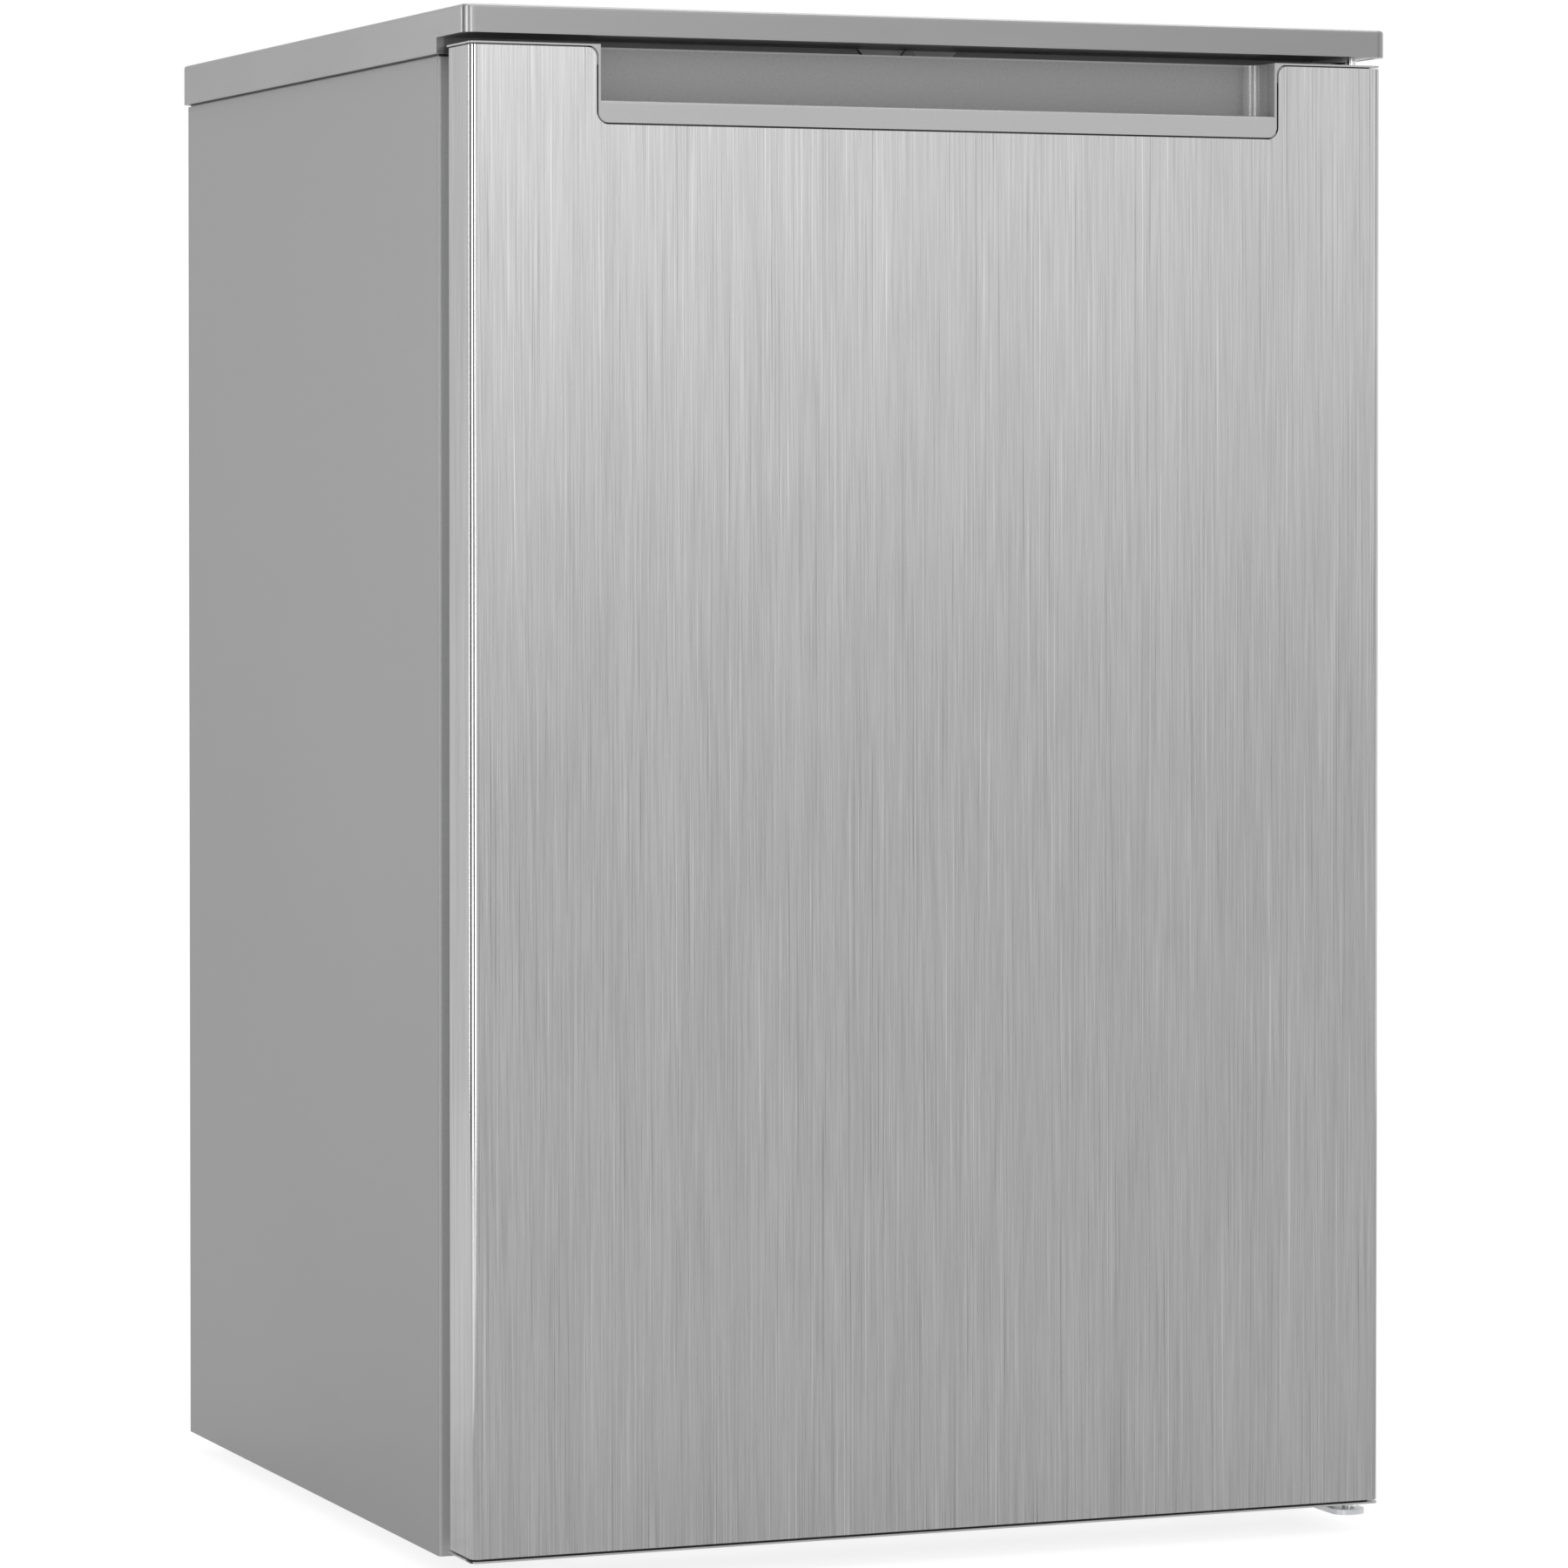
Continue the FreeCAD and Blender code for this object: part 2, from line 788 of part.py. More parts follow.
def worktop():
    """A moulded frame, thin over the door and deeper over the cabinet, with a board let into it.

    It stands on its ribs and on a rim set in from the sides, so its skirt leaves a narrow shadow
    gap over the side panels. The rim is open where the hinge bracket passes.
    """
    half = s.worktop_width / 2
    body = new_body("worktop_frame")
    profile = [
        (s.worktop_front, s.lip_under), (s.skirt_front, s.lip_under),
        (s.skirt_front, s.skirt_low), (s.worktop_back, s.skirt_low),
        (s.worktop_back, s.worktop_top), (s.worktop_front, s.worktop_top)]
    shape = pad(body, "YZ", profile, -half, half)
    ends = (s.worktop_front.value, s.worktop_back.value)

    def at_corner(edge):
        space = edge.BoundBox
        upright = space.XLength < NEAR and space.YLength < NEAR
        return upright and min(abs(space.YMin - end) for end in ends) < NEAR

    def on_top(edge):
        return edge.BoundBox.ZMin > s.worktop_top.value - NEAR

    shape = soften(body, shape, s.worktop_corner, at_corner)
    soften(body, shape, s.worktop_edge, on_top)
    border, wall = s.worktop_rim, s.worktop_wall
    seat = block(
        "board_room",
        (-half + border, s.worktop_front + border, s.board_seat),
        (half - border, s.worktop_back - border, s.worktop_top + s.past))
    hollow = block(
        "frame_hollow",
        (-half + wall, s.skirt_front + wall, s.cabinet_top - s.past),
        (half - wall, s.worktop_back - wall, s.hollow_top))
    slot = block(
        "bracket_slot",
        (s.hinge_across - s.bracket_half_width - s.past,
         s.hinge_along - s.bracket_reach - s.past, s.lip_under - s.past),
        (s.hinge_across + s.bracket_reach, FRONT_INSIDE + s.bracket * 2, s.board_seat))
    ribs = [
        block("frame_rib",
              (s.worktop_rib_pitch * i - s.worktop_rib / 2, s.skirt_front + s.past, s.cabinet_top),
              (s.worktop_rib_pitch * i + s.worktop_rib / 2, s.worktop_back - s.past,
               s.hollow_top + s.past))
        for i in (-1, 0, 1)]
    edge, thick = HALF - s.skirt_step, s.worktop_rib
    front, rear = s.cabinet_front + s.skirt_step, s.worktop_back - wall - s.skirt_step
    rim_outer = block(
        "rim_outer", (-edge, front, s.cabinet_top), (edge, rear, s.hollow_top + s.past))
    rim_inner = block(
        "rim_inner", (-edge + thick, front + thick, s.cabinet_top - s.past),
        (edge - thick, rear - thick, s.hollow_top + s.past * 2))
    bracket_room = block(
        "bracket_room",
        (s.hinge_across - s.bracket_half_width - s.past, front - s.past, s.cabinet_top - s.past),
        (s.worktop_width / 2 - wall, FRONT_INSIDE + s.bracket_foot + s.past,
         s.hollow_top + s.past * 2))
    rim = cut("frame_rim", rim_outer, rim_inner, bracket_room)
    keep("worktop_frame", fuse("frame", cut("frame_shell", body, seat, hollow, slot), rim, *ribs))
    gap = border + s.board_gap
    board = new_body("board")
    pad(board, "XY",
        rectangle((-half + gap, s.worktop_front + gap), (half - gap, s.worktop_back - gap)),
        s.board_seat, s.board_top)
    keep("worktop_board", board)


worktop()


def worktop_clip():
    """A trapezoid plate that hooks the worktop to the cabinet, held by one screw."""
    half, drop = s.clip_half_width, s.clip_top - s.cabinet_top
    front = s.skirt_front - s.clip_plate
    body = new_body("clip")
    pad(body, "XZ", [
        (-half, s.clip_top), (-half + drop, s.cabinet_top), (half - drop, s.cabinet_top),
        (half, s.clip_top)], front, s.skirt_front)
    keep("worktop_clip", body)


worktop_clip()


# ---- hinges ----

def top_bracket():
    """A plate folded up from the cabinet roof and forward over the door."""
    tongue, tip = s.lip_under, s.hinge_along - s.bracket_reach
    foot_front = FRONT_INSIDE
    body = new_body("top_bracket")
    left, right = s.hinge_across - s.bracket_half_width, s.hinge_across + s.bracket_outer
    profile = [
        (tip, tongue), (foot_front, tongue), (foot_front, s.cabinet_top),
        (foot_front + s.bracket_foot, s.cabinet_top),
        (foot_front + s.bracket_foot, s.cabinet_top + s.bracket),
        (foot_front + s.bracket, s.cabinet_top + s.bracket),
        (foot_front + s.bracket, tongue + s.bracket), (tip, tongue + s.bracket)]
    pad(body, "YZ", profile, left, right)
    through = s.bracket + s.past * 2
    pin_hole = rod("top_pin_hole", "Z", (s.hinge_across, s.hinge_along, tongue - s.past), through,
                   s.top_pin_radius)
    screw_holes = [
        rod("top_screw_hole", "Z",
            (s.hinge_across - s.screw_inset, SCREW_ROW + s.screw_pitch * i,
             s.cabinet_top - s.past), through, s.screw_radius)
        for i in range(2)]
    keep("top_hinge_bracket", cut("top_bracket_done", body, pin_hole, *screw_holes))
    keep("top_hinge_pin", rod(
        "top_pin", "Z", (s.hinge_across, s.hinge_along, s.top_pin_low),
        tongue + s.bracket - s.top_pin_low, s.top_pin_radius))


def low_bracket():
    """A flat plate under the cabinet with an upright pin for the door's lower corner."""
    under, over = s.low_bracket_under, s.low_bracket_under + s.bracket
    left, right = s.hinge_across - s.bracket_half_width, s.hinge_across + s.bracket_outer
    tip, turn = s.hinge_along - s.bracket_reach, s.bracket_end_round
    body = new_body("low_bracket")
    pad(body, "XY", [
        (left, tip, turn), (right, tip, turn), (right, s.low_bracket_rear),
        (left, s.low_bracket_rear)], under, over)
    through = s.bracket + s.past * 2
    holes = [rod("low_pin_hole", "Z", (s.hinge_across, s.hinge_along, under - s.past), through,
                 s.low_pin_radius)]
    for i in range(2):
        holes.append(rod(
            "low_screw_hole", "Z",
            (s.hinge_across - s.screw_inset, SCREW_ROW + s.screw_pitch * i, under - s.past),
            through, s.screw_radius))
    keep("bottom_hinge_bracket", cut("low_bracket_done", body, *holes))
    keep("bottom_hinge_pin", rod(
        "low_pin", "Z", (s.hinge_across, s.hinge_along, under), s.low_pin_high - under,
        s.low_pin_radius))


top_bracket()
low_bracket()


# ---- feet ----

keep("rear_feet", together("rear_feet_pair", [
    rod("rear_foot", "Z", (side * s.rear_foot_across, s.rear_foot_along, 0),
        s.base_plate_under, s.rear_foot_radius)
    for side in (-1, 1)]))


def foot(name, side):
    """A levelling foot: a moulded pad on a threaded stud."""
    keep(name, turned(name, side * s.foot_across, s.foot_along, [
        (0, 0), (s.foot_radius, 0, s.bend), (s.foot_radius, s.foot_height, s.bend),
        (s.stud_radius, s.foot_height), (s.stud_radius, s.stud_top), (0, s.stud_top)]))


def foot_insert(side):
    """The threaded sleeve in the floor that takes a foot's stud."""
    floor = s.cabinet_base + s.steel
    at = (side * s.foot_across, s.foot_along)
    sleeve = rod("sleeve", "Z", at + (floor,), s.insert_top - floor, s.insert_radius)
    bore = rod("sleeve_bore", "Z", at + (floor - s.past,), s.stud_top - floor + s.past * 2,
               s.stud_radius + s.stud_play)
    return cut("insert", sleeve, bore)


foot("foot_left", -1)
foot("foot_right", 1)
keep("foot_inserts", together("insert_pair", [foot_insert(-1), foot_insert(1)]))


# ---- door shell ----

def door_skin():
    """Brushed sheet bent round both upright edges, notched at the top for the hand grip."""
    body = new_body("door_skin")
    inner_bend, inner_front = s.skin_bend - s.skin, s.door_front + s.skin
    pad(body, "XY", [
        (-HALF, s.skin_rear), (-HALF, s.door_front, s.skin_bend), (HALF, s.door_front, s.skin_bend),
        (HALF, s.skin_rear), (HALF - s.skin, s.skin_rear), (HALF - s.skin, inner_front, inner_bend),
        (-HALF + s.skin, inner_front, inner_bend), (-HALF + s.skin, s.skin_rear)],
        s.skin_low, s.skin_high)
    clear, side = s.skin_high + s.past, s.notch_side
    pocket(body, "XZ", [
        (s.grip_left - side, clear), (s.grip_left - side, s.skin_high),
        (s.grip_left, s.skin_high, s.grip_convex), (s.grip_left, s.grip_low, s.grip_concave),
        (s.grip_right, s.grip_low, s.grip_concave), (s.grip_right, s.skin_high, s.grip_convex),
        (s.grip_right + side, s.skin_high), (s.grip_right + side, clear)],
        s.door_front - s.past, s.door_front + s.skin + s.past)
    keep("door_skin", body)


door_skin()

PLUG = HALF - s.skin * 2
PLUG_FRONT = s.door_front + s.skin * 2


def bush(name, up, pin_radius, start, end):
    """A collared sleeve in a door cap, and the room it takes."""
    outer = pin_radius + s.bush_wall
    at = (s.hinge_across, s.hinge_along)
    barrel = rod(name + "_barrel", "Z", at + (start,), end - start, outer)
    collar_low = end if up else start - s.bush_collar_rise
    collar = rod(name + "_collar", "Z", at + (collar_low,), s.bush_collar_rise,
                 outer + s.bush_collar)
    bore = rod(name + "_bore", "Z", at + (start - s.past,), end - start + s.past * 2,
               pin_radius + s.pin_play)
    room = rod(name + "_room", "Z", at + (start,), end - start, outer)
    return cut(name, fuse(name + "_solid", barrel, collar), bore), room


BUSH_DEPTH = s.cap_depth + s.cap_rim
top_bush, top_bush_room = bush("top_bush", True, s.top_pin_radius, s.door_high - BUSH_DEPTH, s.door_high)
low_bush, low_bush_room = bush("low_bush", False, s.low_pin_radius, s.door_low, s.door_low + BUSH_DEPTH)
keep("door_bushes", together("bushes", [top_bush, low_bush]))


def rim_outline():
    """The door's plan outline, round at the two front corners."""
    return [(-HALF, s.door_back), (-HALF, s.door_front, s.skin_bend),
            (HALF, s.door_front, s.skin_bend), (HALF, s.door_back)]


def plug_outline(inset=0):
    """The outline inside the skin, or smaller by an inset on its front and sides."""
    half, front, inner_bend = PLUG - inset, PLUG_FRONT + inset, s.skin_bend - s.skin * 2
    return [(-half, s.cap_rear), (-half, front, inner_bend), (half, front, inner_bend),
            (half, s.cap_rear)]


def top_cap():
    """The moulded top end of the door with the hand grip formed in it.

    Behind the gap between it and the skin it is set back, which leaves a dark line.
    """
    gap, rim, wall = s.cap_gap, s.grip_rim, s.grip_wall
    body = new_body("top_cap")
    pad(body, "XY", plug_outline(), s.door_high - s.cap_rim - s.cap_depth, s.skin_high)
    pad(body, "XY", plug_outline(s.cap_groove), s.skin_high, s.door_high - s.cap_rim)
    pad(body, "XY", rim_outline(), s.door_high - s.cap_rim, s.door_high)
    left, right, low = s.grip_left + gap, s.grip_right - gap, s.grip_low + gap
    flare, flange = s.door_high - s.cap_rim, s.grip_convex + s.past
    clear = s.door_high + s.past
    pad(body, "XZ", [
        (left - flange, flare), (left, flare, s.grip_convex),
        (left, low, s.grip_concave - gap), (right, low, s.grip_concave - gap),
        (right, flare, s.grip_convex), (right + flange, flare),
        (right + flange, s.door_high), (left - flange, s.door_high)],
        s.door_front, s.door_front + s.grip_lip)
    set_back = PLUG_FRONT + s.cap_groove
    pad(body, "XZ", rectangle((left, low), (right, s.door_high)), PLUG_FRONT, s.grip_back + wall)
    pad(body, "XZ",
        rectangle((left, s.grip_floor - wall), (right, s.door_high)), set_back, s.grip_back + wall)
    pad(body, "XZ",
        rectangle((left - flange, s.grip_floor - wall), (right + flange, flare)),
        set_back, set_back + wall)
    pocket(body, "XZ", [
        (left + rim, clear), (left + rim, s.grip_lip_top),
        (right - rim, s.grip_lip_top), (right - rim, clear)],
        s.door_front - s.past, s.door_front + s.grip_lip)

    def groove(front):
        back_round = s.grip_end_round
        return [
            (left + rim, front), (right - rim, front), (right - rim, s.grip_back, back_round),
            (left + rim, s.grip_back, back_round)]

    pocket(body, "XY", groove(set_back + wall), s.grip_floor, low + wall)
    shape = pocket(body, "XY", groove(s.door_front + s.grip_lip), low + wall, clear)

    def lip_edge(edge):
        space, height = edge.BoundBox, s.grip_lip_top.value
        level = abs(space.ZMin - height) < NEAR and abs(space.ZMax - height) < NEAR
        return level and edge.Length > s.grip_lip_length.value

    soften(body, shape, s.grip_lip_round, lip_edge)
    keep("door_top_cap", cut("top_cap_done", body, top_bush_room))
    pocket_room = block(
        "grip_room", (left, PLUG_FRONT - s.past, s.grip_floor - wall),
        (right, s.grip_back + wall, s.door_high))
    flange_room = block(
        "flange_room", (left - flange, PLUG_FRONT - s.past, s.grip_floor - wall),
        (right + flange, set_back + wall, s.door_high))
    return fuse("grip_envelope", pocket_room, flange_room)


def bottom_cap():
    body = new_body("bottom_cap")
    over = s.door_low + s.cap_rim + s.cap_depth
    pad(body, "XY", plug_outline(s.cap_groove), s.door_low + s.cap_rim, s.skin_low)
    pad(body, "XY", plug_outline(), s.skin_low, over)
    pad(body, "XY", rim_outline(), s.door_low, s.door_low + s.cap_rim)
    keep("door_bottom_cap", cut("bottom_cap_done", body, low_bush_room))


grip_envelope = top_cap()
bottom_cap()

DOOR_FOAM_LOW = s.door_low + s.cap_rim + s.cap_depth
DOOR_FOAM_HIGH = s.door_high - s.cap_rim - s.cap_depth


# ---- door liner with its raised dike, and the foam behind ----

def door_liner():
    """A formed white sheet. The dike stands into the cabin and carries lugs for the bins."""
    wall, band, half = s.door_liner_wall, s.dike_width, s.dike_half_width
    sheet_part = block(
        "door_liner_sheet", (-PLUG, s.cap_rear, DOOR_FOAM_LOW), (PLUG, s.door_back, DOOR_FOAM_HIGH))
    outer = ring("dike", (-half, s.dike_low), (half, s.dike_high), band, s.cap_rear, s.dike_rear)
    inner = ring(
        "dike_core", (-half + wall, s.dike_low + wall), (half - wall, s.dike_high - wall),
        band - wall * 2, s.cap_rear - s.past, s.dike_rear - wall)
    lugs = []
    reach = half - band
    for level in (s.bottle_bin_low, s.bin_low, s.bin_low + s.bin_pitch):
        for side in (-1, 1):
            ends = in_order(side * (reach + s.past), side * (reach - s.lug_reach))
            lugs.append(block(
                "lug", (ends[0], s.door_back - s.past, level - s.lug_height),
                (ends[1], s.lug_rear, level)))
    solid = fuse("door_liner_solid", sheet_part, outer, *lugs)
    keep("door_liner", cut("door_liner_done", solid, inner))


door_liner()


def door_foam():
    wall, half = s.door_liner_wall, s.dike_half_width
    slab = new_body("door_foam")
    pad(slab, "XY", plug_outline(), DOOR_FOAM_LOW, DOOR_FOAM_HIGH)
    core = ring(
        "foam_core", (-half + wall, s.dike_low + wall), (half - wall, s.dike_high - wall),
        s.dike_width - wall * 2, s.cap_rear - s.past, s.dike_rear - wall)
    keep("door_foam", cut("door_foam_done", fuse("door_foam_solid", slab, core), grip_envelope))


door_foam()


def door_gasket():
    """A soft magnetic seal: a foot in the door, a narrow bellows and a wide head."""
    half, band = s.seal_half_width, s.seal_band
    inset = s.seal_neck_inset
    foot_end = s.door_back + s.seal_foot
    neck_end = foot_end + s.seal_neck
    head_end = s.cabinet_front - s.seal_gap
    foot_ring = ring("seal_foot", (-half, s.seal_low), (half, s.seal_high), band, s.door_back, foot_end)
    neck = ring(
        "seal_neck", (-half + inset, s.seal_low + inset), (half - inset, s.seal_high - inset),
        band - inset * 2, foot_end - s.weld, neck_end + s.weld)
    head = ring("seal_head", (-half, s.seal_low), (half, s.seal_high), band, neck_end, head_end)
    keep("door_gasket", fuse("gasket", foot_ring, neck, head))


door_gasket()


def door_bin(name, low, height, rear):
    """An open tray that sits on the door liner's lugs."""
    half, wall, corner = s.bin_half_width, s.bin_wall, s.bin_corner
    body = new_body(name)
    pad(body, "XY", [
        (-half, s.bin_front), (half, s.bin_front), (half, rear, corner), (-half, rear, corner)],
        low, low + height)
    pocket(body, "XY", [
        (-half + wall, s.bin_front + wall), (half - wall, s.bin_front + wall),
        (half - wall, rear - wall, corner - wall), (-half + wall, rear - wall, corner - wall)],
        low + wall, low + height + s.past)
    keep(name, body)


door_bin("door_bin_low", s.bin_low, s.bin_height, s.bin_rear)
door_bin("door_bin_high", s.bin_low + s.bin_pitch, s.bin_height, s.bin_rear)
door_bin("bottle_bin", s.bottle_bin_low, s.bottle_bin_height, s.bottle_bin_rear)


# ---- shelves and crisper ----

def glass(name, level, side_gap):
    half = CABIN - side_gap
    return keep(name, block(
        name + "_sheet", (-half, s.shelf_front, level), (half, s.shelf_rear, level + s.shelf_glass)))


def trim(level, edge, way, half):
    """A moulded channel clipped over one long edge of a glass sheet."""
    wall, hold = s.trim_wall, s.trim_hold
    body = new_body("trim")
    top, under = level + s.shelf_glass, level
    pad(body, "YZ", [
        (edge + way * hold, top), (edge + way * hold, top + wall), (edge - way * wall, top + wall),
        (edge - way * wall, under - wall), (edge + way * hold, under - wall),
        (edge + way * hold, under), (edge, under), (edge, top)], -half, half)
    return body


trims = []
trim_half = CABIN - s.shelf_side_gap - s.rib_depth
for number, level in enumerate(shelf_levels(), start=1):
    glass("glass_shelf_%d" % number, level, s.shelf_side_gap)
    trims.append(trim(level, s.shelf_front, 1, trim_half))
    trims.append(trim(level, s.shelf_rear, -1, trim_half))
glass("crisper_cover_glass", s.cabin_step, s.cover_side_gap)
trims.append(trim(s.cabin_step, s.shelf_front, 1, CABIN - s.cover_rib_depth))
keep("shelf_trims", together("trim_set", trims))


def crisper():
    """A deep clear drawer with a finger lip, standing on the cabin floor."""
    half, wall, corner = s.crisper_half_width, s.crisper_wall, s.crisper_corner
    front, rear = s.crisper_front, s.crisper_rear
    body = new_body("crisper")
    pad(body, "XY", rectangle((-half, front), (half, rear), corner), s.crisper_low, s.crisper_high)
    grip = s.crisper_grip_half_width
    pad(body, "XY",
        rectangle((-grip, front - s.crisper_grip), (grip, front + wall / 2)),
        s.crisper_high - s.crisper_grip_height, s.crisper_high)
    pocket(body, "XY",
           rectangle((-half + wall, front + wall), (half - wall, rear - wall), corner - wall),
           s.crisper_low + wall, s.crisper_high + s.past)
    pocket(body, "XY",
           rectangle((-grip + wall, front - s.crisper_grip + wall), (grip - wall, front)),
           s.crisper_high - s.crisper_grip_height - s.past, s.crisper_high - wall)
    keep("crisper_drawer", body)


crisper()


# ---- control box, lamp and switch ----

def control_box():
    """A moulded box on the cabin roof that holds the thermostat and the lamp."""
    half, wall, corner = s.control_half_width, s.control_wall, s.control_corner
    front, rear, low = s.control_front, s.control_rear, s.control_low
    body = new_body("control_box")
    pad(body, "XY", rectangle((-half, front), (half, rear), corner), low, s.cabin_top)
    pocket(body, "XY",
           rectangle((-half + wall, front + wall), (half - wall, rear - wall), corner - wall),
           low + wall, s.cabin_top + s.past)
    lens_low, lens_high = (s.lens_left, front + s.lens_margin), (s.lens_right, rear - s.lens_margin)
    pocket(body, "XY", rectangle(lens_low, lens_high), low - s.past, low + wall + s.past)
    shaft_hole = rod(
        "shaft_hole", "Y", (s.knob_across, front - s.past, s.lamp_height), wall + s.past * 2,
        s.knob_shaft_radius + s.knob_play)
    keep("thermostat_housing", cut("control_done", body, shaft_hole))
    keep("lamp_lens", block("lens", lens_low + (low,), lens_high + (low + s.lens_sheet,)))


control_box()


def lamp():
    """A small bulb lying in its holder."""
    middle = (s.control_front + s.control_rear) / 2
    globe_at = (s.lamp_left + s.lamp_radius, middle, s.lamp_height)
    neck = rod("bulb_neck", "X", globe_at, s.socket_left - globe_at[0], s.lamp_neck_radius)
    globe = doc.addObject("Part::Sphere", "bulb_globe")
    bind(globe, "Radius", s.lamp_radius)
    for axis, wanted in zip("xyz", globe_at):
        bind(globe, "Placement.Base." + axis, wanted)
    keep("lamp_bulb", fuse("bulb", globe, neck))
    holder = rod("holder", "X", (s.socket_left, middle, s.lamp_height),
                 s.socket_right - s.socket_left, s.socket_radius)
    post = block(
        "holder_post",
        (s.socket_left + s.post_inset, middle - s.lamp_neck_radius, s.lamp_height),
        (s.socket_right - s.post_inset, middle + s.lamp_neck_radius, s.cabin_top))
    keep("lamp_socket", fuse("socket", holder, post))


lamp()


def knob():
    """The thermostat's knob: a disc with a grip bar and a shaft into the box."""
    face, across, height = s.control_front - s.knob_gap, s.knob_across, s.lamp_height
    disc = rod("knob_disc", "Y", (across, face - s.knob_length + s.knob_bar_rise, height),
               s.knob_length - s.knob_bar_rise, s.knob_radius)
    bar_reach = s.knob_radius - s.knob_bar_inset
    bar = block(
        "knob_bar",
        (across - s.knob_bar / 2, face - s.knob_length, height - bar_reach),
        (across + s.knob_bar / 2, face - s.past, height + bar_reach))
    shaft = rod(
        "knob_shaft", "Y", (across, face - s.past, height), s.knob_shaft, s.knob_shaft_radius)
    keep("thermostat_knob", fuse("knob", disc, bar, shaft))


knob()


def door_switch():
    """A push switch on the cabin roof that the door's dike holds in."""
    left, right = s.switch_across - s.switch_half_width, s.switch_across + s.switch_half_width
    front, rear = s.switch_front, s.switch_rear
    case = block("switch_case", (left, front, s.switch_low), (right, rear, s.cabin_top))
    bore = rod("switch_bore", "Y", (s.switch_across, front - s.past, s.plunger_height),
               s.plunger_rear - front + s.past + s.plunger_room,
               s.plunger_radius + s.plunger_play)
    keep("door_switch_body", cut("switch", case, bore))
    tip = s.dike_rear + s.plunger_gap
    keep("switch_plunger", rod(
        "plunger", "Y", (s.switch_across, tip, s.plunger_height), s.plunger_rear - tip,
        s.plunger_radius))


door_switch()


# ---- cold plate ----

def cold_plate():
    """The evaporator, an aluminium plate on four spacers at the back of the cabin."""
    half, front, rear = s.cold_half_width, s.cold_front, s.cold_front + s.cold_sheet
    sheet_part = block("cold_sheet", (-half, front, s.cold_low), (half, rear, s.cold_high))
    spacers = []
    for side in (-1, 1):
        for level in (s.cold_low + s.cold_spacer * 2, s.cold_high - s.cold_spacer * 2):
            spacers.append(rod(
                "cold_spacer", "Y", (side * (half - s.cold_spacer * 2), rear - s.weld, level),
                s.cabin_back - rear + s.weld, s.cold_spacer))
    keep("evaporator_plate", fuse("cold_done", sheet_part, *spacers))


cold_plate()


# ---- compressor ----

def compressor():
    """A welded steel can on a footed strap, with its terminal box, grommets and drip tray."""
    across, along, radius = s.comp_across, s.comp_along, s.comp_radius
    seam, strap_top = s.comp_seam_low, s.comp_low + s.comp_foot_over
    can = turned("compressor", across, along, [
        (0, s.comp_low), (radius, s.comp_low, s.comp_low_round), (radius, seam),
        (radius + s.comp_seam_reach, seam), (radius + s.comp_seam_reach, seam + s.comp_seam),
        (radius, seam + s.comp_seam), (radius, s.comp_high, s.comp_high_round), (0, s.comp_high)])
    strap = new_body("compressor_strap")
    length, width = s.comp_foot_half_length, s.comp_foot_half_width
    pad(strap, "XY",
        rectangle((across - length, along - width), (across + length, along + width),
                  s.comp_foot_corner), s.comp_low - s.comp_foot, strap_top)
    corners = [(across + i * s.grommet_across, along + j * s.grommet_along)
               for i in (-1, 1) for j in (-1, 1)]
    floor = s.base_plate_under + s.plate
    holes = [
        rod("strap_hole", "Z", corner + (floor,), s.bolt_hole, s.bolt_radius)
        for corner in corners]
    keep("compressor_shell", cut("compressor_done", fuse("can_and_strap", can, strap), *holes))
    grommets = []
    for corner in corners:
        rubber = rod("rubber", "Z", corner + (floor,), s.comp_low - s.comp_foot - floor,
                     s.grommet_radius)
        hole = rod("rubber_hole", "Z", corner + (floor - s.past,), s.bolt_hole, s.bolt_radius)
        grommets.append(cut("grommet", rubber, hole))
    keep("compressor_grommets", together("grommet_set", grommets))
    bolts = []
    for corner in corners:
        shank = rod("bolt_shank", "Z", corner + (floor,), strap_top - floor, s.bolt_radius)
        head = rod("bolt_head", "Z", corner + (strap_top,), s.bolt_head, s.bolt_head_radius)
        bolts.append(fuse("bolt", shank, head))
    keep("compressor_bolts", together("bolt_set", bolts))
    reach = across + radius + s.comp_seam_reach
    keep("compressor_terminal_box", cut(
        "terminal_box_done",
        block("terminal_box", (across + radius / 2, along - s.box_half_width, s.box_low),
              (reach + s.box_reach, along + s.box_half_width, s.box_high)),
        can))
    tray = new_body("tray")
    half_x, half_y, wall, corner = s.tray_half_length, s.tray_half_width, s.tray_wall, s.tray_corner
    pad(tray, "XY",
        rectangle((across - half_x, along - half_y), (across + half_x, along + half_y), corner),
        s.tray_low, s.tray_high)
    pocket(tray, "XY",
           rectangle((across - half_x + wall, along - half_y + wall),
                     (across + half_x - wall, along + half_y - wall), corner - wall),
           s.tray_low + wall, s.tray_high + s.past)
    keep("evaporation_tray", tray)


compressor()


# ---- condenser at the back ----

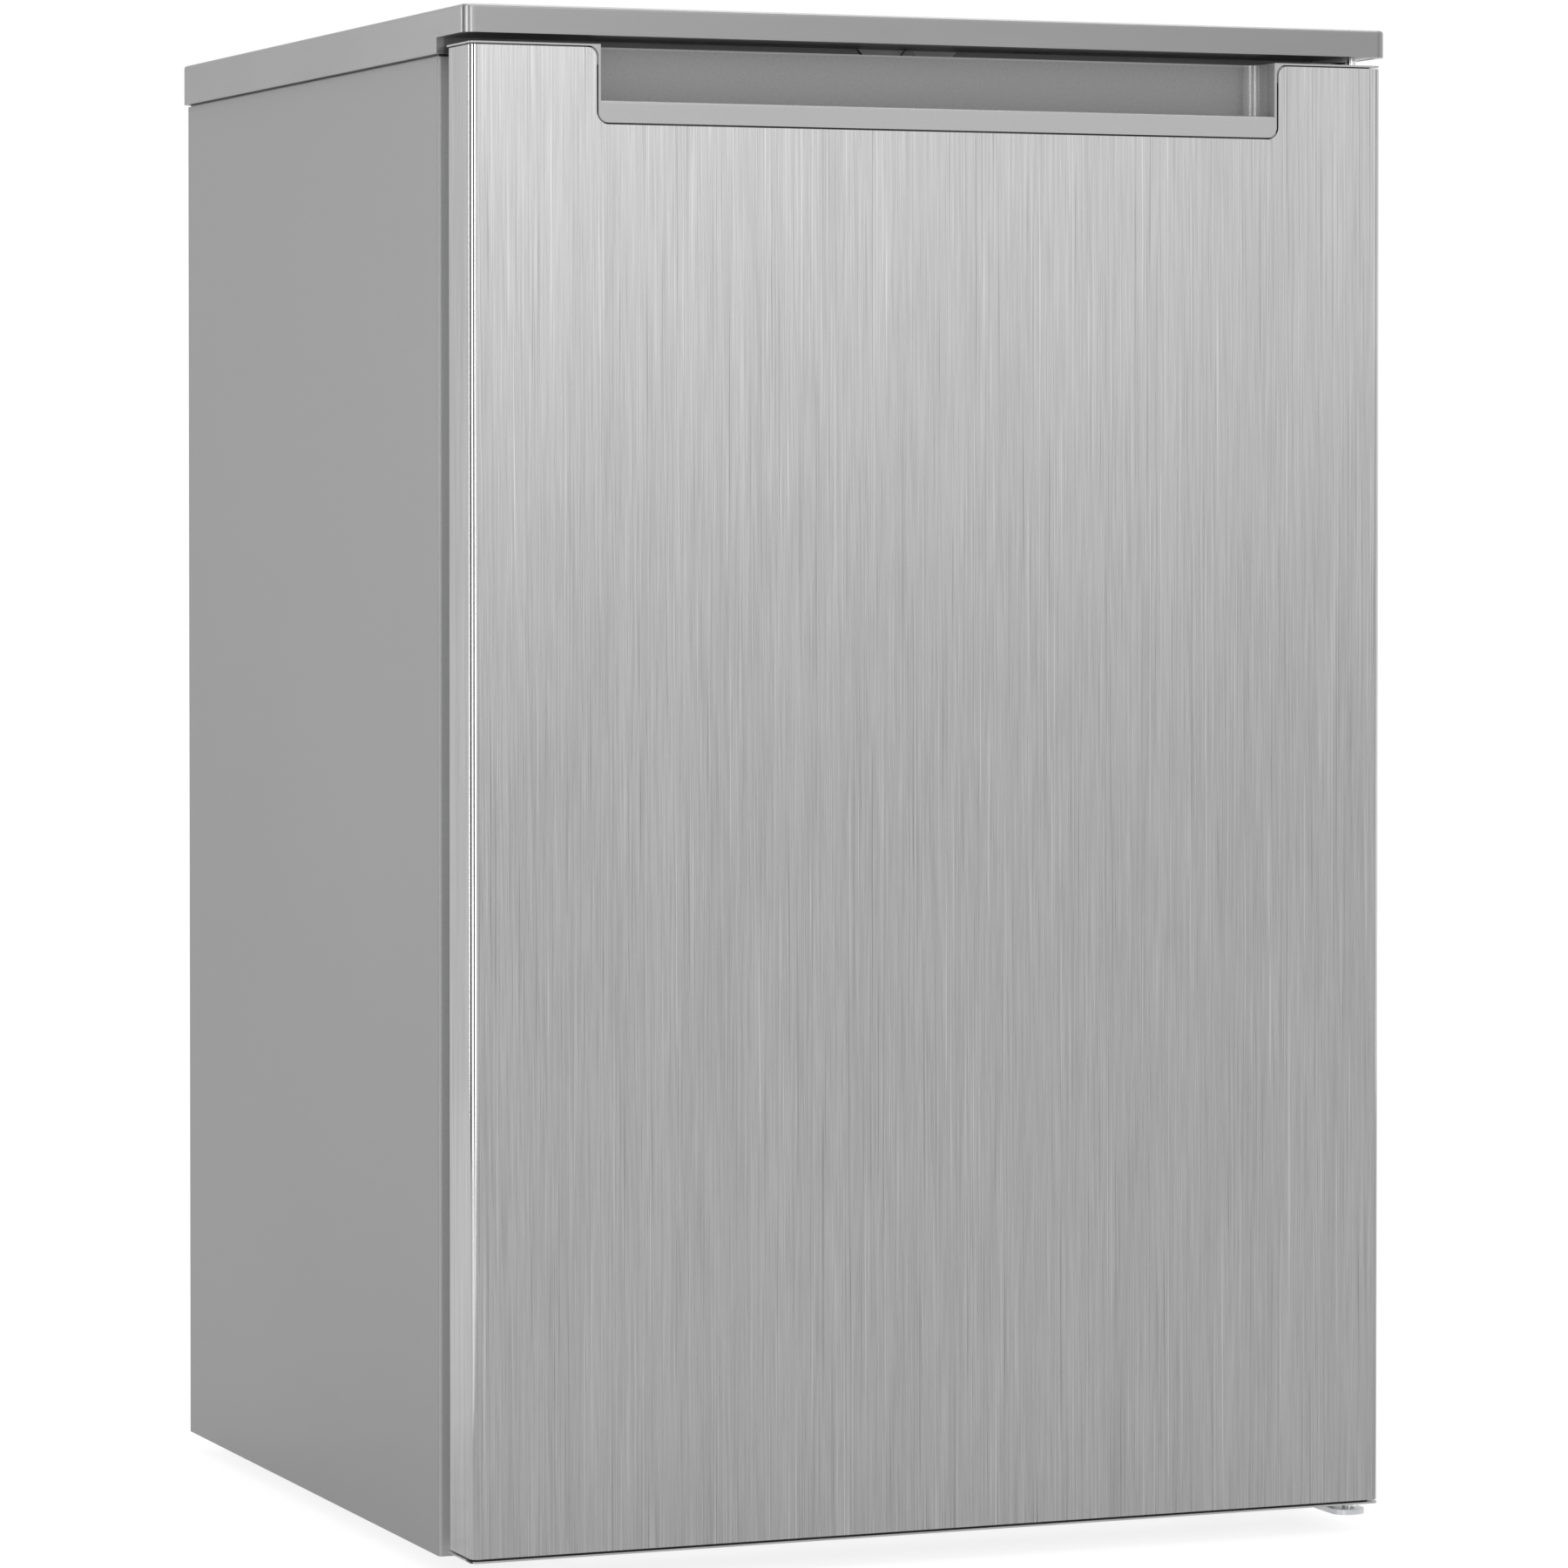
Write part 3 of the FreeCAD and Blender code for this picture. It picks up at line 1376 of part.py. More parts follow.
def condenser():
    """A serpentine tube with upright wires welded on both faces, on four plastic blocks."""
    number = {name: getattr(s, name).value for name in SIZES}
    half, along, pitch = number["coil_half_width"], number["coil_along"], number["coil_pitch"]
    rows = int(number["coil_rows"])
    points = []
    for row in range(rows):
        height = number["coil_low"] + pitch * row
        ends = (-half, half) if row % 2 == 0 else (half, -half)
        points += [(end, along, height) for end in ends]
    keep("condenser_tube", bent_tube("coil", points, number["coil_radius"], pitch / 2 - NEAR))
    step = s.coil_radius + s.wire_radius
    low, high = s.coil_low - s.wire_over, s.coil_low + s.coil_pitch * (rows - 1) + s.wire_over
    wires = []
    count = int(number["wire_count"])
    for i in range(count):
        across = s.wire_pitch * (i - (count - 1) / 2)
        side = 1 if i % 2 == 0 else -1
        wires.append(rod("wire", "Z", (across, s.coil_along + side * step, low), high - low,
                         s.wire_radius))
    keep("condenser_wires", together("wires", wires))
    blocks = []
    for side in (-1, 1):
        across, reach = side * (s.coil_half_width - s.clip_inset), s.clip_block / 2
        for row in (1, rows - 2):
            level = s.coil_low + s.coil_pitch * row
            blocks.append(block(
                "coil_clip", (across - reach, BACK, level - reach),
                (across + reach, s.coil_along - s.coil_radius, level + reach)))
    keep("condenser_brackets", together("coil_clips", blocks))


condenser()


def drier_and_lines():
    """The filter drier and the copper lines that join it, the can and the condenser."""
    keep("filter_drier", turned("drier", s.drier_across, s.drier_along, [
        (0, s.drier_low), (s.line_radius * 2, s.drier_low),
        (s.line_radius * 2, s.drier_low + s.drier_nose), (s.drier_radius, s.drier_low + s.drier_nose),
        (s.drier_radius, s.drier_high - s.drier_nose),
        (s.line_radius * 2, s.drier_high - s.drier_nose), (s.line_radius * 2, s.drier_high),
        (0, s.drier_high)]))
    number = {name: getattr(s, name).value for name in SIZES}
    radius, bend = number["line_radius"], number["line_bend"]
    drier = (number["drier_across"], number["drier_along"])
    hot_height = number["hot_line_height"]
    out = (-number["coil_half_width"] - number["hot_line_out"], number["coil_along"])
    hot = bent_tube("hot_line", [
        drier + (number["drier_high"],), drier + (hot_height,), out + (hot_height,),
        out + (number["coil_low"],)], radius, bend)
    wall = number["comp_across"] - number["comp_radius"]
    along, height = number["comp_along"] - number["suction_forward"], number["suction_height"]
    turn = wall - number["suction_reach"]
    suction = bent_tube("suction_line", [
        (wall + number["suction_in"], along, height), (turn, along, height),
        (turn, along, number["niche_top"])], radius, bend)
    keep("refrigerant_lines", together("lines", [hot, suction]))


drier_and_lines()

GLAND_FRONT = s.base_plate_rear - s.gland_tail
gland_body = rod(
    "gland_body", "Y", (s.gland_across, GLAND_FRONT, s.gland_height), s.gland_out - GLAND_FRONT,
    s.gland_radius)
gland_ring = rod(
    "gland_ring", "Y", (s.gland_across, s.base_plate_rear, s.gland_height),
    s.gland_out - s.base_plate_rear, s.gland_collar)
gland_hole = rod(
    "gland_bore", "Y", (s.gland_across, GLAND_FRONT - s.past, s.gland_height),
    s.gland_out - GLAND_FRONT + s.past * 2, s.gland_bore)
keep("cord_gland", cut("gland", fuse("gland_solid", gland_body, gland_ring), gland_hole))


# ---- check and write ----

doc.recompute()
failed = [thing.Label for thing in doc.Objects if {"Invalid", "Error"} & set(thing.State)]
if failed:
    raise RuntimeError("not computed: " + ", ".join(failed))
for piece in nodes:
    if piece.Shape.isNull() or not piece.Shape.isValid():
        raise RuntimeError("bad shape: " + piece.Label)
os.makedirs("parts", exist_ok=True)
for piece in nodes:
    piece.Shape.exportStep("parts/%s.step" % piece.Label)
print(len(nodes), "nodes written")
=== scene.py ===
import math

import bmesh
import bpy
from mathutils import Matrix, Vector


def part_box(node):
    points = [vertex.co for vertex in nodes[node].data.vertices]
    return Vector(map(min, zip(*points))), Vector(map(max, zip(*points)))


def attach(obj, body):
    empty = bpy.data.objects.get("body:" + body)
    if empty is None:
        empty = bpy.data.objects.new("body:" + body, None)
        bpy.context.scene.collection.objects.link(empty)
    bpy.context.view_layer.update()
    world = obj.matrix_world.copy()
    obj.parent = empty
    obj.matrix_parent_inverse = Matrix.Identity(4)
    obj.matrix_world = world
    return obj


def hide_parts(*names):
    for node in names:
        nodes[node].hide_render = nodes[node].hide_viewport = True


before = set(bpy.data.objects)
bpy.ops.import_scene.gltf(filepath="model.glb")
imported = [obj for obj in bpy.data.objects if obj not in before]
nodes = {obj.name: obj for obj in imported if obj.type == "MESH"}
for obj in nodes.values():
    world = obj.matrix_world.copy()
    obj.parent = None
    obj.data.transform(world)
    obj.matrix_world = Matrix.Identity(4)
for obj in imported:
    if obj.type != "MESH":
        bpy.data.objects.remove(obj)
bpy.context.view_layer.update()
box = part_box


# ---- camera ----
# A long lens at door height, a little to the left of the door, tipped down by one degree. The lens
# is shifted down for the rest, so that upright edges stay nearly upright.
look = bpy.data.cameras.new("camera")
look.lens = 142.44
look.sensor_width = 36
look.shift_x = -0.0068
look.shift_y = -0.1197
camera = bpy.data.objects.new("camera", look)
camera.location = (-1.3376, -3.4104, 0.5914)
camera.rotation_euler = (math.radians(90 - 1.0), 0, math.radians(-21.737))
bpy.context.scene.collection.objects.link(camera)
bpy.context.scene.camera = camera


# ---- studio ----
# A pale floor under a pale surround. Large soft lamps stand in front, to the left and overhead,
# and dark screens beside them draw the thin dark lines that folded metal edges show.

class Wire:
    """A shader socket. Arithmetic on it adds Math nodes; node() adds any other node."""

    def __init__(self, tree, socket=None):
        self.tree = tree
        self.socket = socket

    def node(self, kind, settings=None, sockets=None, out=0):
        made = self.tree.nodes.new("ShaderNode" + kind)
        for name, value in (settings or {}).items():
            if name == "stops":
                ramp = made.color_ramp.elements
                while len(ramp) < len(value):
                    ramp.new(1)
                for stop, (position, colour) in zip(ramp, value):
                    stop.position = position
                    stop.color = colour
            else:
                setattr(made, name, value)
        for name, value in (sockets or {}).items():
            socket = next(s for s in made.inputs if name in (s.identifier, s.name))
            if isinstance(value, Wire):
                self.tree.links.new(value.socket, socket)
            else:
                socket.default_value = value
        return Wire(self.tree, made.outputs[out])

    def math(self, operation, first, second=0.0, clamp=False):
        settings = {"operation": operation, "use_clamp": clamp}
        return self.node("Math", settings, {"Value": first, "Value_001": second})

    def __add__(self, other):
        return self.math("ADD", self, other)

    def __radd__(self, other):
        return self.math("ADD", other, self)

    def __sub__(self, other):
        return self.math("SUBTRACT", self, other)

    def __rsub__(self, other):
        return self.math("SUBTRACT", other, self)

    def __mul__(self, other):
        return self.math("MULTIPLY", self, other)

    def __rmul__(self, other):
        return self.math("MULTIPLY", other, self)

    def size(self):
        """This value without its sign."""
        return self.math("ABSOLUTE", self)

    def clamp(self):
        return self.math("ADD", self, 0.0, clamp=True)

    def beyond(self, start, slope=900.0):
        """A mask that is 0 up to start and reaches 1 a slope-th of a unit past it."""
        return ((self - start) * slope).clamp()

    def short_of(self, end, slope=900.0):
        """A mask that is 0 from end on and 1 a slope-th of a unit before it."""
        return ((end - self) * slope).clamp()

    def stretched(self, scale):
        """This vector, multiplied axis by axis."""
        return self.node("VectorMath", {"operation": "MULTIPLY"}, {"Vector": self, "Vector_001": scale})

    def noise(self, scale, detail=2.0, roughness=0.5):
        return self.node("TexNoise", {}, {
            "Vector": self, "Scale": scale, "Detail": detail, "Roughness": roughness})

    def part(self, axis):
        """The X, Y or Z of this vector."""
        return self.node("SeparateXYZ", {}, {"Vector": self}, axis)

    def ramp(self, *stops):
        """A colour ramp over this value."""
        return self.node("ValToRGB", {"stops": [(at, tone(colour)) for at, colour in stops]},
                         {"Fac": self})

    def bump(self, strength, distance):
        return self.node("Bump", {}, {"Height": self, "Strength": strength, "Distance": distance})


def tone(colour):
    """A grey level or an RGB colour as the four numbers that a colour socket takes."""
    return (colour, colour, colour, 1) if isinstance(colour, (int, float)) else (*colour, 1)


def finish(name, even):
    """A new material with its even values set, its shader, and a wire on object coordinates."""
    material = bpy.data.materials.new(name)
    material.use_nodes = True
    shader = material.node_tree.nodes["Principled BSDF"]
    for socket, value in even.items():
        shader.inputs[socket].default_value = value
    place = Wire(material.node_tree).node("TexCoord", out="Object")
    return material, shader, place


def feed(shader, varying):
    """Links what changes over the surface to the shader."""
    for socket, wire in varying.items():
        wire.tree.links.new(wire.socket, shader.inputs[socket])


def wear(material, *names):
    """Gives CAD nodes a finish."""
    for name in names:
        for slot in nodes[name].material_slots:
            slot.material = material


def add_mesh(name, build, material=None):
    """A new object whose mesh is filled by build(bmesh)."""
    mesh = bpy.data.meshes.new(name)
    shape = bmesh.new()
    build(shape)
    shape.to_mesh(mesh)
    shape.free()
    made = bpy.data.objects.new(name, mesh)
    bpy.context.scene.collection.objects.link(made)
    if material:
        mesh.materials.append(material)
    return made


def softbox(name, across, height, distance, azimuth, size, energy, aim=0.42):
    """A rectangular lamp round the object; azimuth is from straight in front towards the left."""
    angle = math.radians(azimuth)
    lamp = bpy.data.lights.new(name, "AREA")
    lamp.shape = "RECTANGLE"
    lamp.size, lamp.size_y = size
    lamp.energy = energy
    piece = bpy.data.objects.new(name, lamp)
    piece.location = (across - math.sin(angle) * distance, -math.cos(angle) * distance, height)
    to_middle = Vector((0, 0, aim)) - piece.location
    piece.rotation_euler = to_middle.to_track_quat("-Z", "Y").to_euler()
    piece.visible_camera = False
    bpy.context.scene.collection.objects.link(piece)


def card(name, middle, size, azimuth, grey, lean=0, glow=0.0):
    """A card that only reflections see, turned to an azimuth and leant back; glow lights it."""
    def build(shape):
        bmesh.ops.create_grid(shape, x_segments=1, y_segments=1, size=0.5)
        turn = Matrix.Rotation(math.radians(-azimuth), 4, "Z") @ Matrix.Rotation(
            math.radians(90 - lean), 4, "X")
        shape.transform(Matrix.Translation(middle) @ turn @ Matrix.Diagonal((*size, 1, 1)))

    material, shader, place = finish(name + "_cloth", {
        "Roughness": 0.9, "Specular IOR Level": 0.1, "Emission Color": tone(1.0),
        "Emission Strength": glow})
    feed(shader, {"Base Color": place.noise(40.0).ramp((0.3, grey * 0.9), (0.7, grey))})
    piece = add_mesh(name, build, material)
    piece.visible_camera = False
    piece.visible_diffuse = False
    piece.visible_shadow = False
    piece.visible_transmission = False


softbox("key_lamp", 0.15, 1.8, 2.7, 0, (1.2, 1.2), 8)
softbox("left_lamp", 0.0, 1.3, 2.6, 62, (0.5, 1.8), 3)
softbox("overhead_lamp", 0.0, 2.8, 0.4, 0, (2.2, 2.2), 7, aim=0.8)
card("front_strip", (-1.1, -2.4, 1.0), (0.3, 2.2), 25, 1.0, glow=6.0)
card("left_strip", (-2.4, -1.1, 1.0), (0.35, 2.2), 65, 1.0, glow=6.0)
card("back_strip", (-1.9, 1.9, 1.0), (0.3, 2.2), 135, 1.0, glow=6.0)
card("roof_strip", (0.0, 0.0, 2.7), (2.6, 2.2), 0, 1.0, lean=90, glow=2.0)
card("middle_dark", (-1.9, -1.9, 1.0), (0.7, 2.4), 45, 0.03)
card("left_dark", (-2.2, 0.5, 1.0), (1.2, 2.4), 103, 0.02)
card("back_grey", (-1.0, 2.3, 1.0), (1.5, 2.4), 158, 0.72)
card("left_floor_grey", (-1.5, 1.2, 0.004), (2.6, 3.4), 0, 0.85, lean=90)
card("front_grey", (1.1, -2.4, 0.30), (2.4, 0.62), 0, 0.62)
card("right_grey", (2.5, -2.3, 1.2), (1.5, 2.4), -42, 0.62)
card("front_floor_grey", (0.9, -1.34, 0.005), (3.4, 2.1), 0, 0.60, lean=90)

floor_radius = 14.0


def floor_disc(shape):
    bmesh.ops.create_circle(shape, cap_ends=True, segments=96, radius=floor_radius)


floor_paint, floor_shader, floor_place = finish("floor_paint", {
    "Roughness": 0.62, "Specular IOR Level": 0.2, "Emission Color": tone(1.0),
    "Emission Strength": 0.8})
floor_cloud = floor_place.noise(0.9, 3.0)
floor_speck = floor_place.noise(180.0, 2.0)
feed(floor_shader, {
    "Base Color": (floor_cloud * 0.6 + floor_speck * 0.4).ramp((0.35, 0.22), (0.65, 0.25)),
    "Normal": floor_speck.bump(0.04, 0.001)})
add_mesh("floor", floor_disc, floor_paint)

world = bpy.data.worlds.new("surround")
bpy.context.scene.world = world
world.use_nodes = True
surround = Wire(world.node_tree)
direction = surround.node("TexCoord", out="Generated")
glow = (direction.part("Z") * 0.5 + 0.5).ramp((0.0, 0.8), (0.5, 1.0), (0.62, 1.0), (1.0, 0.8))
lit = surround.node("Background", {}, {"Color": glow, "Strength": 1.03})
world.node_tree.links.new(lit.socket, world.node_tree.nodes["World Output"].inputs["Surface"])
bpy.context.scene.view_settings.view_transform = "Standard"


# ---- cabinet sheets ----
# The sides and the rails round the door opening are sheet steel, folded and powder painted in a
# satin silver grey with a painted highlight along the front fold, and foamed in place. The roof,
# back and floor sheets are bare galvanised steel.

fold_end = box("side_panel_left")[0][1] + 0.0016

silver_paint, shader, place = finish("silver_paint", {
    "Coat Weight": 0.25, "Coat Roughness": 0.25})
peel = place.noise(650.0, 2.0)
cloud = place.noise(3.0, 2.0)
# Painted highlight: the base colour turns pale (up to 0.36) along the front fold of the side panels,
# standing in for the light the fold catches.
painted_fold_highlight = place.part("Y").short_of(fold_end, 1200.0)
pigment_and_painted_light = (cloud * 0.7 + peel * 0.3) * 0.5 + painted_fold_highlight * 0.5
feed(shader, {
    "Base Color": pigment_and_painted_light.ramp((0.15, 0.200), (0.35, 0.212), (0.85, 0.36)),
    "Roughness": peel * 0.06 + 0.39,
    "Normal": peel.bump(0.03, 0.0003)})
wear(silver_paint, "side_panel_left", "side_panel_right", "top_cross_rail", "front_cross_rail")

galvanised, shader, place = finish("galvanised", {"Metallic": 0.9})
spangle = place.node("TexVoronoi", {}, {"Vector": place, "Scale": 110.0}, "Color")
facet = place.node("SeparateColor", {}, {"Color": spangle}, "Red")
stain = place.noise(7.0, 4.0)
feed(shader, {
    "Base Color": (facet * 0.5 + stain * 0.5).ramp((0.2, 0.40), (0.8, 0.62)),
    "Roughness": facet * 0.18 + 0.36,
    "Normal": facet.bump(0.05, 0.0002)})
wear(galvanised, "cabinet_top_sheet", "back_panel", "bottom_sheet", "niche_plate", "base_plate")


# ---- foam ----
# Rigid polyurethane foam, blown between the sheets and the liners. It is closed in on every side,
# cream coloured, with fine bubbles.

foam, shader, place = finish("foam", {"Roughness": 0.95})
bubble = place.node("TexVoronoi", {}, {"Vector": place, "Scale": 900.0}, "Distance")
feed(shader, {
    "Base Color": bubble.ramp((0.0, (0.62, 0.52, 0.30)), (0.8, (0.86, 0.78, 0.55))),
    "Normal": bubble.bump(0.4, 0.0006)})
wear(foam, "cabinet_foam", "door_foam")


# ---- worktop ----
# A laminated board let into a frame moulded in grey pigmented plastic with a soft gloss, with
# painted shade on its inner faces. It hooks to the cabinet with a clip of paler plastic and one screw.

frame_high = box("worktop_frame")[1]
frame_wall = 0.0035

grey_moulding, shader, place = finish("grey_moulding", {
    "Metallic": 0.75, "Coat Weight": 0.1, "Coat Roughness": 0.06})
flake = place.noise(2600.0, 2.0, 0.7)
flow = place.stretched((6.0, 6.0, 30.0)).noise(1.0, 3.0)
# Painted shade: the base colour is halved on the frame's inner faces, where shade falls under the
# worktop.
painted_inner_shade = (place.part("X").size().short_of(frame_high[0] - frame_wall)
          * place.part("Y").size().short_of(frame_high[1] - frame_wall)
          * place.part("Z").short_of(frame_high[2] - frame_wall))
pigment_and_painted_light = (flake * 0.7 + flow * 0.3) * 0.5 + 0.5
feed(shader, {
    "Base Color": (pigment_and_painted_light * (1.0 - painted_inner_shade * 0.5)).ramp((0.35, 0.13), (0.66, 0.26), (0.84, 0.32)),
    "Roughness": flake * 0.12 + 0.26,
    "Normal": (flake * 0.4 + flow * 0.6).bump(0.04, 0.0004)})
wear(grey_moulding, "worktop_frame")

clip_plastic, shader, place = finish("clip_plastic", {"Metallic": 0.3})
grit = place.noise(1800.0, 2.0)
feed(shader, {
    "Base Color": place.noise(40.0).ramp((0.3, 0.38), (0.7, 0.44)),
    "Roughness": grit * 0.12 + 0.3,
    "Normal": grit.bump(0.06, 0.0002)})
wear(clip_plastic, "worktop_clip")

laminate, shader, place = finish("laminate", {"Coat Weight": 0.2, "Coat Roughness": 0.35})
pebble = place.noise(1400.0, 2.0)
fleck = place.node("TexVoronoi", {}, {"Vector": place, "Scale": 420.0}, "Distance")
feed(shader, {
    "Base Color": (pebble * 0.5 + fleck * 0.5).ramp((0.2, 0.37), (0.6, 0.43)),
    "Roughness": pebble * 0.12 + 0.42,
    "Normal": pebble.bump(0.15, 0.0002)})
wear(laminate, "worktop_board")


# ---- door caps ----
# The mouldings that close the top and bottom of the door, in silver pigmented plastic. The hand grip
# is formed in the top one, with a lip flush with the steel; its back wall has painted shade. The open
# joint between cap and steel is painted black as shadow.

cap_rim = box("door_top_cap")[1][2] - 0.0006
grip_back = -0.2475
grip_middle, grip_half = 0.0035, 0.2015
lip_root = 0.7895
joint_front, joint_rear = -0.2690, -0.2600
joint_edge = 1800.0

silver_plastic, shader, place = finish("silver_plastic", {
    "Metallic": 0.15, "Coat Weight": 0.5, "Coat Roughness": 0.08})
flake = place.noise(2600.0, 2.0, 0.7)
flow = place.stretched((6.0, 6.0, 30.0)).noise(1.0, 3.0)
below_rim = place.part("Z").short_of(cap_rim, joint_edge)
# Painted shade: the base colour is halved on the grip's back wall, below the rim.
painted_recess_shade = place.part("Y").beyond(grip_back) * below_rim
over_lip = ((place.part("X") - grip_middle).size().short_of(grip_half, joint_edge)
            * place.part("Z").beyond(lip_root, joint_edge))
# Painted shadow: the base colour drops to the ramp's two darkest stops (0.01 to 0.02) in the open
# groove between cap and steel, except over the grip's lip.
painted_joint_shadow = (place.part("Y").beyond(joint_front, joint_edge)
         * place.part("Y").short_of(joint_rear, joint_edge) * below_rim * (1.0 - over_lip))
pigment_and_painted_light = ((flake * 0.75 + flow * 0.25) * 0.5 + 0.5) * (1.0 - painted_recess_shade * 0.5) * (1.0 - painted_joint_shadow)
feed(shader, {
    "Base Color": pigment_and_painted_light.ramp((0.0, 0.01), (0.2, 0.02), (0.35, 0.25), (0.66, 0.34), (0.84, 0.41)),
    "Roughness": flake * 0.12 + 0.22,
    "Normal": flake.bump(0.06, 0.0001)})
wear(silver_plastic, "door_top_cap", "door_bottom_cap")


# ---- door skin ----
# One sheet of brushed stainless steel with an upright grain, folded round both long edges and
# notched at the top for the hand grip. The folding tool leaves the folds smoother than the face.
# The foam holds it to the caps and the liner.

brushed_steel, shader, place = finish("brushed_steel", {"Metallic": 1.0})
stagger = (place.part("X") + place.part("Y")) * 0.37


def upright_grain(across, along, detail, roughness=0.5):
    """Noise drawn out upright, with neighbouring strokes ending at different heights."""
    strokes = place.node("CombineXYZ", {}, {
        "X": place.part("X") * across, "Y": place.part("Y") * across,
        "Z": place.part("Z") * along + stagger * across})
    return strokes.noise(1.0, detail, roughness)


fine = upright_grain(2600.0, 18.0, 3.0, 0.6)
coarse = upright_grain(1300.0, 5.0, 2.0)
scratch = upright_grain(1200.0, 5.0, 0.0)
band = place.stretched((60.0, 60.0, 1.6)).noise(1.0, 2.0)
dark_line = scratch.beyond(0.69, 14.0)
bright_line = scratch.short_of(0.31, 14.0)
streak = fine * 0.55 + coarse * 0.35 + band * 0.1 + (bright_line - dark_line) * 0.16
flat_edge = box("door_skin")[1][0] - 0.0042
fold = place.part("X").size().beyond(flat_edge)
feed(shader, {
    "Base Color": streak.ramp((0.24, 0.34), (0.5, 0.56), (0.76, 0.79)),
    "Roughness": (fine * 0.14 + 0.22) * (1.0 - fold * 0.65),
    "Normal": ((fine * 0.6 + coarse * 0.4) * (1.0 - fold)).bump(0.08, 0.0002)})
wear(brushed_steel, "door_skin")


# ---- door seal ----
# A soft grey extrusion with a magnet inside its head and a bellows behind it, mitred and welded at
# the corners and pressed into the door liner's edge. It closes on the painted rim of the cabinet.

seal_low, seal_high = box("door_gasket")
seal_band = 0.022
seal_depth = seal_high[1] - seal_low[1]
# Across the band from its outer edge, and out from the door, as shares of the band and the depth.
seal_section = [
    (0.02, 0.00), (0.98, 0.00), (0.98, 0.14), (0.80, 0.24), (0.72, 0.30), (0.84, 0.41), (0.74, 0.52),
    (0.96, 0.56), (1.00, 0.66), (1.00, 0.90), (0.94, 1.00), (0.66, 1.00), (0.60, 0.95), (0.40, 0.95),
    (0.34, 1.00), (0.06, 1.00), (0.00, 0.90), (0.00, 0.66), (0.04, 0.56), (0.26, 0.52), (0.16, 0.41),
    (0.28, 0.30), (0.20, 0.24), (0.02, 0.14)]


def sweep_seal(shape):
    rings = []
    for across, out in seal_section:
        inset, along = across * seal_band, seal_low[1] + out * seal_depth
        left, right = seal_low[0] + inset, seal_high[0] - inset
        under, over = seal_low[2] + inset, seal_high[2] - inset
        corners = [(left, under), (right, under), (right, over), (left, over)]
        rings.append([shape.verts.new((x, along, z)) for x, z in corners])
    for ring, after in zip(rings, rings[1:] + rings[:1]):
        for i in range(4):
            j = (i + 1) % 4
            shape.faces.new([ring[i], ring[j], after[j], after[i]])
    bmesh.ops.recalc_face_normals(shape, faces=shape.faces)
    bmesh.ops.bevel(shape, geom=list(shape.edges), offset=0.0003, segments=2, affect="EDGES",
                    profile=0.5, clamp_overlap=True)
    for face in shape.faces:
        face.smooth = True


seal_rubber, shader, place = finish("seal_rubber", {})
bloom = place.noise(60.0, 3.0)
feed(shader, {
    "Base Color": bloom.ramp((0.3, 0.31), (0.7, 0.35)),
    "Roughness": bloom * 0.2 + 0.5,
    "Normal": place.noise(900.0).bump(0.1, 0.0002)})
seal = add_mesh("seal", sweep_seal, seal_rubber)
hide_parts("door_gasket")
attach(seal, "door")


# ---- liners ----
# The cabinet's tub and the door's inner face are vacuum formed from glossy white polystyrene,
# slightly wavy where the sheet stretched.

white_liner, shader, place = finish("white_liner", {"Coat Weight": 0.3, "Coat Roughness": 0.1})
wave = place.noise(9.0, 2.0)
grit = place.noise(1200.0)
feed(shader, {
    "Base Color": wave.ramp((0.3, (0.80, 0.82, 0.83)), (0.7, (0.86, 0.87, 0.87))),
    "Roughness": grit * 0.1 + 0.22,
    "Normal": (wave * 0.8 + grit * 0.2).bump(0.06, 0.002)})
wear(white_liner, "inner_liner", "door_liner")


# ---- white fittings ----
# The control box, switch, lamp holder, hinge bushes and shelf edges are injection moulded in white,
# the thermostat knob and the drain tube in grey. Small marks stand up from the box round the knob.

white_plastic, shader, place = finish("white_plastic", {"Coat Weight": 0.1})
grit = place.noise(1800.0, 2.0)
feed(shader, {
    "Base Color": place.noise(25.0).ramp((0.3, (0.78, 0.79, 0.79)), (0.7, (0.84, 0.85, 0.84))),
    "Roughness": grit * 0.15 + 0.28,
    "Normal": grit.bump(0.08, 0.0002)})
wear(white_plastic, "thermostat_housing", "door_switch_body", "switch_plunger", "lamp_socket",
     "door_bushes", "shelf_trims")

knob_plastic, shader, place = finish("knob_plastic", {})
grit = place.noise(1500.0, 2.0)
feed(shader, {
    "Base Color": grit.ramp((0.3, 0.22), (0.7, 0.28)),
    "Roughness": grit * 0.2 + 0.35,
    "Normal": grit.bump(0.12, 0.0002)})
wear(knob_plastic, "thermostat_knob", "drain_tube")

knob_low, knob_high = box("thermostat_knob")
dial_middle = ((knob_low[0] + knob_high[0]) / 2, (knob_low[2] + knob_high[2]) / 2)
dial_face = box("thermostat_housing")[0][1]
dial_marks, dial_start, dial_sweep = 8, 225, 270
marks_ring = 0.0164
mark_length, mark_growth = 0.0014, 0.0002
mark_width, mark_depth = 0.0008, 0.0004


def tick_marks(shape):
    """Short raised bars round the knob, each a little longer than the one before."""
    for step in range(dial_marks):
        angle = math.radians(dial_start - step * dial_sweep / (dial_marks - 1))
        length = mark_length + mark_growth * step
        reach = marks_ring + length / 2
        place_bar = (
            Matrix.Translation((dial_middle[0] + math.cos(angle) * reach, dial_face,
                                dial_middle[1] + math.sin(angle) * reach))
            @ Matrix.Rotation(-angle, 4, "Y")
            @ Matrix.Diagonal((length, mark_depth, mark_width, 1)))
        bar = bmesh.ops.create_cube(shape, size=1.0, matrix=place_bar)
        bmesh.ops.bevel(shape, geom=list({edge for vert in bar["verts"] for edge in vert.link_edges}),
                        offset=0.0001, segments=2, affect="EDGES")


